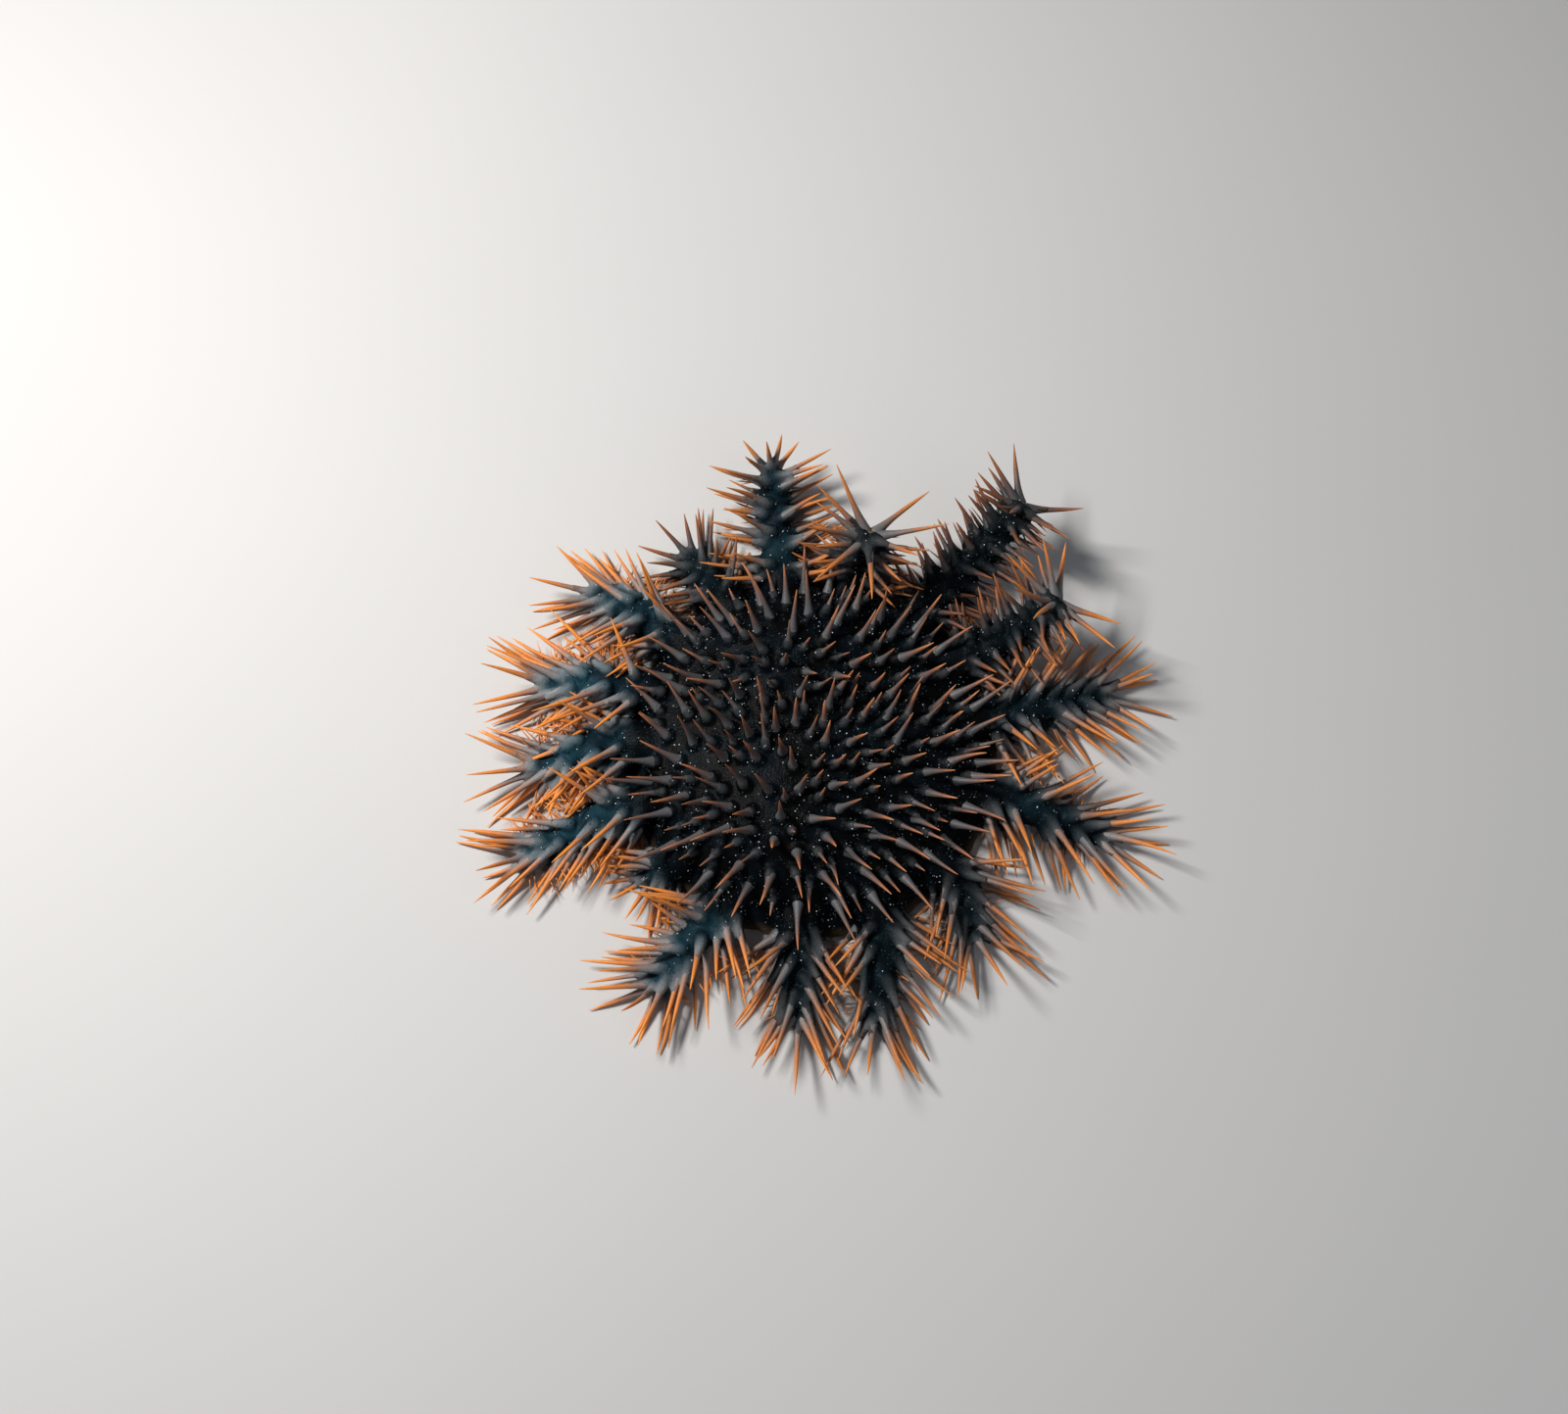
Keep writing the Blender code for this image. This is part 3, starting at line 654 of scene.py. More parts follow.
def try_spine(spines, draw, node, kind, root, aim, length, radii):
    """Sets a spine, turned a little and shortened where it would meet another."""
    for attempt in range(TRIES):
        off = Vector([draw.gauss(0.0, 1.0) for _ in range(3)]).normalized()
        turn = math.tan(math.radians(TURN_STEP * attempt))
        way = (Vector(aim).normalized() + off * turn).normalized()
        reach = length * (1.0 - SHORTER_STEP * attempt)
        if not fits(root, way, reach, radii[1]):
            continue
        if spines.clear(np.array(root), np.array(way), reach, radii[1]):
            light = 0.0 if node == "disc" else spine_light(node, root)
            spines.add(node, kind, root, way, reach, *radii, light)
            return


def turned(way, angle):
    """A direction turned about the vertical."""
    return Matrix.Rotation(math.radians(angle), 3, "Z") @ way


def grow_arm_extras(spines, name, draw):
    arm = ARMS[name]
    frames = FRAMES[name]
    field = frames[-1][1] - ARM_EXTRA_FIRST - ARM_EXTRA_LAST
    for row in ARM_EXTRA_ROWS:
        count = max(2, round(field * DENSER.get(name, 1.0) / row["spacing"]) + 1)
        for hand in (-1, 1):
            for step in range(count):
                along = (step + draw.uniform(-STEP_VARIES, STEP_VARIES)) / (count - 1)
                along = min(1.0, max(0.0, along))
                distance = ARM_EXTRA_FIRST + field * along
                t, _, centre, way, up, side = frame_at(frames, distance)
                shift = draw.uniform(-ANGLE_JITTER, ANGLE_JITTER)
                root_way = side_way(up, side, hand * row["side"] + shift)
                root = centre + root_way * arm_thickness(name, t) * round_end(t)
                root.z = max(root.z, FRINGE_FLOOR)
                first, last = arm["lean"]
                lean = first + (last - first) * along + draw.uniform(-LEAN_VARIES, LEAN_VARIES)
                lean = math.radians(lean)
                out = side_way(up, side, hand * row["aim"] + shift)
                aim = turned(out * math.cos(lean) + way * math.sin(lean), arm.get("turn", 0))
                length = row["length"] * arm["long"][0]
                length *= 1 + draw.uniform(-LENGTH_VARIES, LENGTH_VARIES)
                try_spine(spines, draw, name, row["kind"], root, aim, length, row["radii"])
    _, _, centre, way, up, side = frames[-1]
    end = TIP_STAR if arm.get("curl", 0) > STAR_CURL else TIP_FAN
    for step in range(end["count"]):
        share = (step + draw.uniform(-STEP_VARIES, STEP_VARIES)) / (end["count"] - 1)
        around = end["around"] * (share - 0.5)
        spread = math.radians(draw.uniform(*end["spread"]))
        out = way * math.cos(spread) + side_way(up, side, around) * math.sin(spread)
        root = centre + (out - way) * ARM_TIP_THICKNESS * TIP_ROOT
        length = draw.uniform(*TIP_EXTRA_LENGTH) * arm["long"][1]
        aim = turned(out, arm.get("turn", 0))
        try_spine(spines, draw, name, "main", root, aim, length, TIP_EXTRA_RADII)


def grow_disc_extras(spines, draw):
    roots = [row["root"][:2] for row in spines.rows if row["node"] == "disc"]
    for _ in range(DISC_EXTRAS):
        best = None
        for _ in range(DISC_EXTRA_LOOKS):
            reach = DISC_SPINE_FIELD * math.sqrt(draw.random())
            turn = draw.uniform(0.0, 2 * math.pi)
            point = np.array((reach * math.cos(turn), reach * math.sin(turn)))
            lonely = min(np.hypot(*(point - other)) for other in roots)
            if best is None or lonely > best[0]:
                best = (lonely, point)
        x, y = best[1]
        roots.append(best[1])
        root = FLESH_TREE.ray_cast(Vector((x, y, 1.0)), Vector((0.0, 0.0, -1.0)))[0]
        if root is None or root.z < DISC_RIM_MIDDLE:
            continue
        tilt = Vector([draw.gauss(0.0, DISC_EXTRA_TILT) for _ in range(3)])
        aim = disc_lean(x, y) + tilt
        length = draw.uniform(*DISC_EXTRA_LENGTH)
        try_spine(spines, draw, "disc", "main", root, aim, length, DISC_EXTRA_RADII)


def grow_fringe(spines, name, draw):
    frames = FRAMES[name]
    total = frames[-1][1]
    denser = DENSER.get(name, 1.0)
    count = round(total * denser / FRINGE_SPACING)
    for hand in (-1, 1):
        for step in range(count):
            distance = total * (step + draw.uniform(*FRINGE_STEP)) / count
            t, _, centre, way, up, side = frame_at(frames, distance)
            out = side_way(up, side, hand * draw.uniform(*FRINGE_SIDE))
            root = centre + out * arm_thickness(name, t) * round_end(t)
            root.z = max(root.z, FRINGE_FLOOR)
            pitch = math.radians(draw.uniform(*FRINGE_PITCH))
            lean = math.radians(draw.uniform(*FRINGE_LEAN))
            flat = side * hand * math.cos(lean) + way * math.sin(lean)
            aim = flat * math.cos(pitch) + up * math.sin(pitch)
            length = draw.uniform(*FRINGE_LENGTH) * denser**FRINGE_GROWS
            way_out = aim.normalized()
            if fits(root, way_out, length, FRINGE_RADII[1]):
                light = spine_light(name, root)
                spines.add(name, "fringe", root, way_out, length, *FRINGE_RADII, light)


# Underside: a groove along each arm with two rows of tube feet, and the mouth with its spines
GROOVE_DEPTH = 0.0034
GROOVE_WIDTH = 0.0034
GROOVE_LEAST = 0.0006
GROOVE_WIDENS = 0.045
GROOVE_LEVELS = (0.0004, 0.0045)
GROOVE_SIDE = (-0.0015, -0.0035)
MOUTH_RADIUS = 0.0105
MOUTH_DEPTH = 0.0060
MOUTH_EDGE = 0.0040
GROOVE_START = (0.012, 0.020)
FOOT_FIRST = 0.017
FOOT_SPACING = 0.0026
FOOT_ASIDE = 0.0012
FOOT_ASIDE_VARIES = (0.8, 1.3)
FOOT_SPREAD = 0.25
FOOT_TURNED = 0.2
FOOT_ROOT = 0.0031
FOOT_LENGTH = (0.0019, 0.0026)
FREE_FOOT_LENGTH = (0.0042, 0.0062)
FREE_FOOT_HEIGHT = 0.0040
FOOT_RADII = (0.00075, 0.00062)
MOUTH_SPINES = 48
MOUTH_STEP = 0.25
MOUTH_TURN = 12.0
MOUTH_RIM = 0.3
MOUTH_SPINE_LENGTH = (0.0050, 0.0075)
MOUTH_SPINE_HEIGHT = (0.0012, 0.0036)
MOUTH_SPINE_RADII = (0.0010, 0.00075)


def grow_tube_feet(spines, name, draw):
    """Two rows of tube feet in the groove of an arm and in its part under the disc."""
    frames = FRAMES[name]
    out = outward(ARMS[name]["angle"])
    up = Vector((0.0, 0.0, 1.0))
    places = []
    for step in range(int((ARM_ROOT_RADIUS - FOOT_FIRST) / FOOT_SPACING)):
        places.append((out * (FOOT_FIRST + FOOT_SPACING * step), up, out.cross(up)))
    for step in range(int(frames[-1][1] / FOOT_SPACING)):
        t, _, centre, _, above, side = frame_at(frames, FOOT_SPACING * step)
        reach = arm_thickness(name, t) * round_end(t)
        if above.z > FOOT_TURNED:
            reach = min(reach, centre.z / above.z)
        places.append((centre - above * reach, above, side))
    for place, above, side in places:
        free = place.z > FREE_FOOT_HEIGHT
        for hand in (-1, 1):
            aside = side * hand * FOOT_ASIDE * draw.uniform(*FOOT_ASIDE_VARIES)
            root = place + above * FOOT_ROOT + aside
            way = -above + side * hand * draw.uniform(0.0, FOOT_SPREAD)
            length = draw.uniform(*(FREE_FOOT_LENGTH if free else FOOT_LENGTH))
            spines.add(name, "foot", root, way, length, *FOOT_RADII, draw.random())


def grow_mouth_spines(spines, draw):
    for step in range(MOUTH_SPINES):
        turn = 360.0 * (step + draw.uniform(-MOUTH_STEP, MOUTH_STEP)) / MOUTH_SPINES
        root = outward(turn) * (MOUTH_RADIUS + MOUTH_EDGE * MOUTH_RIM)
        root.z = draw.uniform(*MOUTH_SPINE_HEIGHT)
        length = draw.uniform(*MOUTH_SPINE_LENGTH)
        way = -outward(turn + draw.uniform(-MOUTH_TURN, MOUTH_TURN))
        spines.add("disc", "foot", root, way, length, *MOUTH_SPINE_RADII, draw.random())


def all_spines():
    spines = Spines()
    read_solid_spines(spines)
    draw = random.Random(SEED)
    for name in ARM_NAMES:
        grow_arm_extras(spines, name, draw)
    grow_disc_extras(spines, draw)
    for name in ARM_NAMES:
        grow_fringe(spines, name, draw)
    for name in ARM_NAMES:
        grow_tube_feet(spines, name, draw)
    grow_mouth_spines(spines, draw)
    return spines.rows


SPINES = all_spines()


# Skin


def pedestal(row, sizes):
    """Skin drawn up round a spine: a cone with hollow sides."""
    foot, top, height = sizes
    height = min(height, PEDESTAL_SHARE * row["length"])
    root, way = Vector(row["root"]), Vector(row["way"])
    across = way.orthogonal().normalized()
    other = way.cross(across)
    points = []
    levels = [height * step / (PEDESTAL_RINGS - 1) for step in range(PEDESTAL_RINGS)]
    levels.insert(0, -PEDESTAL_SINK)
    for level in levels:
        left = max(0.0, 1.0 - max(level, 0.0) / height)
        radius = top + (foot - top) * left**PEDESTAL_HOLLOW
        for side in range(PEDESTAL_SIDES):
            turn = 2 * math.pi * side / PEDESTAL_SIDES
            out = across * math.cos(turn) + other * math.sin(turn)
            point = root + way * level + out * radius
            points.append((point.x, point.y, max(point.z, 0.0)))
    faces = grid_faces(len(levels), PEDESTAL_SIDES, 0)
    last = (len(levels) - 1) * PEDESTAL_SIDES
    faces.append(tuple(last + side for side in range(PEDESTAL_SIDES)))
    return points, faces


def pedestal_sizes(row, turn):
    """Sizes of the pedestal under a spine, turn being its angle from the top of its arm."""
    if row["kind"] == "thin":
        return SMALL_PEDESTAL
    if row["node"] == "disc":
        return DISC_PEDESTAL
    return ARM_PEDESTAL if turn < math.radians(RIDGE_ANGLE) else FLANK_PEDESTAL


def apply_modifiers(item):
    graph = bpy.context.evaluated_depsgraph_get()
    mesh = bpy.data.meshes.new_from_object(item.evaluated_get(graph))
    item.modifiers.clear()
    old = item.data
    item.data = mesh
    bpy.data.meshes.remove(old)


def arm_places(points):
    """For each point: nearest arm, share and distance along it, and its place across and above."""
    tree = KDTree(len(ARM_NAMES) * (ARM_FRAMES + 1))
    samples = []
    for number, name in enumerate(ARM_NAMES):
        for one in FRAMES[name]:
            tree.insert(one[2], len(samples))
            samples.append((number, *one))
    tree.balance()
    nearest = np.array([tree.find(point)[1] for point in points])
    centres = np.array([tuple(sample[3]) for sample in samples])[nearest]
    ways = np.array([tuple(sample[4]) for sample in samples])[nearest]
    ups = np.array([tuple(sample[5]) for sample in samples])[nearest]
    sides = np.array([tuple(sample[6]) for sample in samples])[nearest]
    off = points - centres
    arm = np.array([sample[0] for sample in samples])[nearest]
    travelled = np.array([sample[2] for sample in samples])[nearest]
    along = travelled + np.einsum("ij,ij->i", off, ways)
    above = np.einsum("ij,ij->i", off, ups)
    across = np.einsum("ij,ij->i", off, sides)
    return arm, along, above, across, ups


def press_underside(points):
    """Draws the mouth and the grooves of the underside into the skin."""
    reach = np.hypot(points[:, 0], points[:, 1])
    flat = 1.0 - smooth_step(*GROOVE_LEVELS, points[:, 2])
    spokes = np.zeros(len(points))
    for name in ARM_NAMES:
        way = outward(ARMS[name]["angle"])
        forward = points[:, 0] * way.x + points[:, 1] * way.y
        across = points[:, 1] * way.x - points[:, 0] * way.y
        width = GROOVE_WIDTH * smooth_step(0.0, GROOVE_WIDENS, reach) + GROOVE_LEAST
        here = np.exp(-((across / width) ** 2)) * (forward > 0.0)
        spokes = np.maximum(spokes, here)
    spokes *= smooth_step(*GROOVE_START, reach)
    mouth = 1.0 - smooth_step(MOUTH_RADIUS - MOUTH_EDGE, MOUTH_RADIUS + MOUTH_EDGE, reach)
    on_disc = reach < ARM_ROOT_RADIUS
    lift = np.maximum(spokes * GROOVE_DEPTH, mouth * MOUTH_DEPTH) * flat
    points[on_disc, 2] += lift[on_disc]
    arm, along, above, across, ups = arm_places(points)
    groove = np.exp(-((across / GROOVE_WIDTH) ** 2)) * smooth_step(*GROOVE_SIDE, above)
    inward = ups * (groove * GROOVE_DEPTH)[:, None]
    points[~on_disc] += inward[~on_disc]
    return points


def make_skin():
    shapes = list(FLESH.values())
    _, _, above, across, _ = arm_places(np.array([row["root"] for row in SPINES]))
    for row, turn in zip(SPINES, np.abs(np.arctan2(across, above))):
        if row["kind"] in ("main", "thin"):
            shapes.append(pedestal(row, pedestal_sizes(row, turn)))
    skin = new_piece("skin", *gather(shapes))
    remesh = skin.modifiers.new("one_surface", "REMESH")
    remesh.mode = "VOXEL"
    remesh.voxel_size = VOXEL
    smooth = skin.modifiers.new("soften", "SMOOTH")
    smooth.factor = 0.5
    smooth.iterations = SKIN_SMOOTHING
    apply_modifiers(skin)
    points = points_of(skin.data)
    wave = np.array([noise.noise(Vector(point) * WAVE_SCALE) for point in points])
    points += points_of(skin.data, "normal") * (wave * WAVE_HEIGHT)[:, None]
    move_points(skin.data, press_underside(points))
    triangles = triangles_of(skin.data)
    if triangles > SKIN_TRIANGLES:
        fewer = skin.modifiers.new("fewer", "DECIMATE")
        fewer.ratio = SKIN_TRIANGLES / triangles
        apply_modifiers(skin)
    move_points(skin.data, points_of(skin.data))
    skin.data.shade_smooth()
    return skin


# Unwrap of the skin's own shape: the disc's top and underside as squares, each arm as a strip
CHART_SPAN = 0.168
SQUARE = 0.47
STRIP_LENGTH = 0.47
STRIP_HEIGHT = 0.0625
STRIP_TURN = 0.054
STRIP_START = 0.015
STRIP_ENDS = (-0.02, 1.08)
STRIP_ROOM = 1.1
QUARTER = 0.25
HALF = 0.5
PATCH = 0.003


def chart_places(points, arm, along, turn, on_disc, under):
    """Where points lie on the unwrap."""
    u = QUARTER + points[:, 0] / CHART_SPAN * SQUARE + HALF * under
    v = QUARTER + points[:, 1] / CHART_SPAN * SQUARE
    totals = np.array([FRAMES[name][-1][1] for name in ARM_NAMES])[arm]
    share = np.clip(along / totals, *STRIP_ENDS) / STRIP_ROOM
    strip_u = STRIP_START + STRIP_LENGTH * share + HALF * (arm % 2)
    strip_v = HALF + STRIP_HEIGHT * (arm // 2 + 0.5) + turn / (2 * math.pi) * STRIP_TURN
    return np.where(on_disc, u, strip_u), np.where(on_disc, v, strip_v)


def unwrap_skin(skin, points, places):
    arm, along, above, across, _ = places
    mesh = skin.data
    loops = corners_of(mesh)
    face_of = np.repeat(np.arange(len(mesh.polygons)), [face.loop_total for face in mesh.polygons])
    first = np.array([face.loop_start for face in mesh.polygons])
    centres = np.array([tuple(face.center) for face in mesh.polygons])
    facing = np.array([face.normal.z for face in mesh.polygons])
    lead = loops[first][face_of]
    on_disc = (np.hypot(centres[:, 0], centres[:, 1]) < ARM_ROOT_RADIUS)[face_of]
    under = (facing < 0.0)[face_of] * 1.0
    turn_all = np.arctan2(across, above)
    off = (turn_all[loops] - turn_all[lead] + math.pi) % (2 * math.pi) - math.pi
    turn = turn_all[lead] + off
    same = arm[loops] == arm[lead]
    along_here = np.where(same, along[loops], along[lead])
    turn = np.where(same, turn, turn_all[lead])
    set_unwrap(mesh, *chart_places(points[loops], arm[lead], along_here, turn, on_disc, under))


# Where the disc's black gives way to the arms' colours, and the height over which a sheath's
# change. Then the turns from the top at which an arm's lit ridge ends and its underside begins
ARM_COLOUR_STARTS = (0.074, 0.098)
SHEATH_RISE = 0.011
RIDGE_TURNS = (0.7, 1.7)
UNDER_TURNS = (2.0, 2.6)
UNDER_HEIGHT = 0.008


def dress_skin(skin):
    """Numbers that the skin's material reads."""
    points = points_of(skin.data)
    places = arm_places(points)
    arm, along, above, across, _ = places
    lights = np.array([LIGHTS[name][0] for name in ARM_NAMES])[arm]
    reach = np.hypot(points[:, 0], points[:, 1])
    out = smooth_step(*ARM_COLOUR_STARTS, reach)
    rise = np.array([FLESH_TREE.find_nearest(Vector(point))[3] for point in points])
    facing = points_of(skin.data, "normal")[:, 2]
    turn = np.abs(np.arctan2(across, above))
    # Painted light: an arm's top is painted lit more than its sides, and on the disc the skin that faces up
    ridge = np.where(reach > ARM_ROOT_RADIUS, 1.0 - smooth_step(*RIDGE_TURNS, turn), facing)
    under_arm = smooth_step(*UNDER_TURNS, turn) * out
    under_disc = (1.0 - smooth_step(0.0, UNDER_HEIGHT, points[:, 2])) * (1.0 - out)
    set_values(skin, "arm", out)
    # How lit each arm's skin is painted: painted light and shade, partly a real difference in colour between
    # arms
    set_values(skin, "light", lights * out)
    set_values(skin, "rise", np.clip(rise / SHEATH_RISE, 0.0, 1.0))
    set_values(skin, "ridge", np.clip(ridge, 0.0, 1.0))
    set_values(skin, "under", np.clip(under_arm + under_disc, 0.0, 1.0))
    unwrap_skin(skin, points, places)


# Spine meshes: where the last ring is, how a spine swells and how uneven its rings are, and the
# least height of a point
LAST_RING = 0.985
BEND_VARIES = 0.6
SWELL = (0.05, 9)
UNEVEN = (0.04, 5)
PHASE = 6
LEAST_HEIGHT = 0.0001


def spine_profile(share, foot, shaft, profile):
    """Radius at shares of the length: a flared root, a long shaft and a drawn out point."""
    root_part, even, late = profile
    share = np.clip(share, 0.0, 1.0)
    taper = 1.0 - even * share - late * share**3
    flare = np.maximum(0.0, 1.0 - share / root_part) ** 2
    return shaft * taper + (foot - shaft) * flare


def spine_piece(name, rows, sides, rings, draw):
    """All spines of a group as one mesh, each closed and sunk in the skin at its root."""
    points, faces, along, tone, light = [], [], [], [], []
    turns = np.arange(sides) * 2 * math.pi / sides
    levels = np.linspace(0.0, LAST_RING, rings)
    for row in rows:
        offset = len(points)
        length = row["length"]
        shares = np.concatenate(([-SPINE_SINK / length], levels))
        way = row["way"]
        across = np.array(Vector(way).orthogonal().normalized())
        other = np.cross(way, across)
        bend_turn = draw.uniform(0.0, 2 * math.pi)
        bend = across * math.cos(bend_turn) + other * math.sin(bend_turn)
        amount = length * SPINE_BEND * draw.gauss(0.0, BEND_VARIES)
        wobble = np.array([draw.uniform(-1.0, 1.0) for _ in range(4)])
        colour = draw.uniform(0.0, 1.0)
        profile = DISC_PROFILE if row["node"] == "disc" else ARM_PROFILE
        if row["kind"] == "foot":
            profile = FOOT_PROFILE
        radii = spine_profile(shares, row["foot"], row["shaft"], profile)
        swell = 1.0 + SWELL[0] * wobble[0] * np.sin(SWELL[1] * shares + PHASE * wobble[1])
        for share, radius in zip(shares, radii * swell):
            curve = bend * amount * 4 * share * (share - 1.0) if share > 0 else 0.0
            centre = row["root"] + way * share * length + curve
            phase = UNEVEN[1] * share + PHASE * wobble[2]
            uneven = 1.0 + UNEVEN[0] * np.sin(2 * turns + phase)
            around = np.outer(np.cos(turns), across) + np.outer(np.sin(turns), other)
            ring = centre + around * (radius * uneven)[:, None]
            ring[:, 2] = np.maximum(ring[:, 2], LEAST_HEIGHT)
            points.extend(ring)
            along.extend([max(share, 0.0)] * sides)
        end = row["root"] + way * length
        points.append((end[0], end[1], max(end[2], LEAST_HEIGHT)))
        along.append(1.0)
        count = len(shares) * sides + 1
        tone.extend([colour] * count)
        light.extend([row["light"]] * count)
        faces.extend(grid_faces(len(shares), sides, offset))
        last = offset + (len(shares) - 1) * sides
        for side in range(sides):
            faces.append((last + side, last + (side + 1) % sides, offset + count - 1))
    piece = new_piece(name, points, faces)
    set_values(piece, "along", along)
    set_values(piece, "tone", tone)
    # light: how lit each spine is painted, as painted light and shade; on the tube feet and mouth spines it
    # is a random tone instead
    set_values(piece, "light", light)
    patch_spines(piece, rows, sides, len(levels) + 1)
    return piece


def patch_spines(piece, rows, sides, rings):
    """Gives each spine a small patch at its root's place on the skin's unwrap."""
    roots = np.array([row["root"] for row in rows])
    _, along, above, across, _ = arm_places(roots)
    feet = np.array([row["kind"] == "foot" for row in rows])
    on_disc = np.array([row["node"] == "disc" for row in rows])
    on_disc |= feet & (np.hypot(roots[:, 0], roots[:, 1]) < ARM_ROOT_RADIUS)
    names = {name: number for number, name in enumerate(ARM_NAMES)}
    arm = np.array([names.get(row["node"], 0) for row in rows])
    turn = np.arctan2(across, above)
    u, v = chart_places(roots, arm, along, turn, on_disc, feet * 1.0)
    count = rings * sides + 1
    mesh = piece.data
    loops = corners_of(mesh)
    starts = loops[[face.loop_start for face in mesh.polygons]]
    first = np.repeat(starts, [face.loop_total for face in mesh.polygons])
    spine = loops // count
    local = loops % count
    side = local % sides
    ring = np.minimum(local // sides, rings)
    lead_side = (first % count) % sides
    wrapped = np.where((side < lead_side) & (lead_side - side > 1), side + sides, side)
    patch_u = (wrapped / sides - 0.5) * PATCH
    patch_v = (ring / rings - 0.5) * PATCH
    set_unwrap(mesh, u[spine] + patch_u, v[spine] + patch_v)


# Papulae and pale granules on the upper skin: number, radius and height
PAPULAE = 5200
PAPULA_SIZE = (0.00022, 0.00042)
PAPULA_HEIGHT = 1.5
GRANULES = 1500
GRANULE_SIZE = (0.00018, 0.00038)
GRANULE_HEIGHT = 0.8
BUMP_SIDES = 6
BUMP_LEVELS = ((1.0, -0.4), (0.95, 0.35), (0.55, 0.85))
SCATTER_RISE = 0.30
SCATTER_FLOOR = 0.0012
SCATTER_UNDER = 0.1


def scatter_places(skin, count, draw):
    """Points spread over the upper skin, each with the way it faces."""
    mesh = skin.data
    mesh.calc_loop_triangles()
    corners = np.empty(len(mesh.loop_triangles) * 3, dtype=np.int32)
    mesh.loop_triangles.foreach_get("vertices", corners)
    corners = corners.reshape(-1, 3)
    points = points_of(mesh)
    low, middle, high = (points[corners[:, side]] for side in range(3))
    normals = np.cross(middle - low, high - low)
    areas = np.linalg.norm(normals, axis=1)
    normals /= np.maximum(areas, 1e-12)[:, None]
    low_down = values_of(skin, "rise")[corners[:, 0]] < SCATTER_RISE
    upper = values_of(skin, "under")[corners[:, 0]] < SCATTER_UNDER
    lifted = points[corners].min(axis=1)[:, 2] > SCATTER_FLOOR
    areas = areas * (low_down & upper & lifted)
    chosen = draw.choice(len(areas), size=count, p=areas / areas.sum())
    share = draw.random((count, 2))
    share = np.where(share.sum(axis=1, keepdims=True) > 1.0, 1.0 - share, share)
    first, second = share[:, :1], share[:, 1:]
    places = low[chosen] + (middle - low)[chosen] * first + (high - low)[chosen] * second
    return places, normals[chosen]


def scatter_piece(name, skin, count, sizes, height, draw):
    """Many small domes on the skin as one mesh."""
    places, ways = scatter_places(skin, count, draw)
    points, faces, tone = [], [], []
    turns = np.arange(BUMP_SIDES) * 2 * math.pi / BUMP_SIDES
    for place, way in zip(places, ways):
        offset = len(points)
        size = draw.uniform(*sizes)
        across = np.array(Vector(way).orthogonal().normalized())
        other = np.cross(way, across)
        for wide, level in BUMP_LEVELS:
            ring = place + way * level * size * height
            around = np.outer(np.cos(turns), across) + np.outer(np.sin(turns), other)
            points.extend(ring + around * wide * size)
        points.append(place + way * size * height)
        faces.extend(grid_faces(len(BUMP_LEVELS), BUMP_SIDES, offset))
        last = offset + (len(BUMP_LEVELS) - 1) * BUMP_SIDES
        for side in range(BUMP_SIDES):
            faces.append((last + side, last + (side + 1) % BUMP_SIDES, len(points) - 1))
        tone.extend([draw.random()] * (len(points) - offset))
    piece = new_piece(name, points, faces)
    set_values(piece, "tone", tone)
    patch_domes(piece, places, len(points) // count)
    return piece


def patch_domes(piece, places, each):
    """Gives each dome a small patch at its place on the skin's unwrap."""
    arm, along, above, across, _ = arm_places(places)
    on_disc = np.hypot(places[:, 0], places[:, 1]) < ARM_ROOT_RADIUS
    turn = np.arctan2(across, above)
    u, v = chart_places(places, arm, along, turn, on_disc, np.zeros(len(places)))
    loops = corners_of(piece.data)
    dome, local = loops // each, loops % each
    top = local == each - 1
    ring = np.where(top, len(BUMP_LEVELS), local // BUMP_SIDES)
    reach = (1.0 - ring / len(BUMP_LEVELS)) * PATCH / 2
    around = (local % BUMP_SIDES) * 2 * math.pi / BUMP_SIDES
    patch_u = reach * np.cos(around)
    patch_v = reach * np.sin(around)
    set_unwrap(piece.data, u[dome] + patch_u, v[dome] + patch_v)


# Materials: the places of a mix node's colour sockets
COLOUR_A = 6
COLOUR_B = 7
COLOUR_RESULT = 2


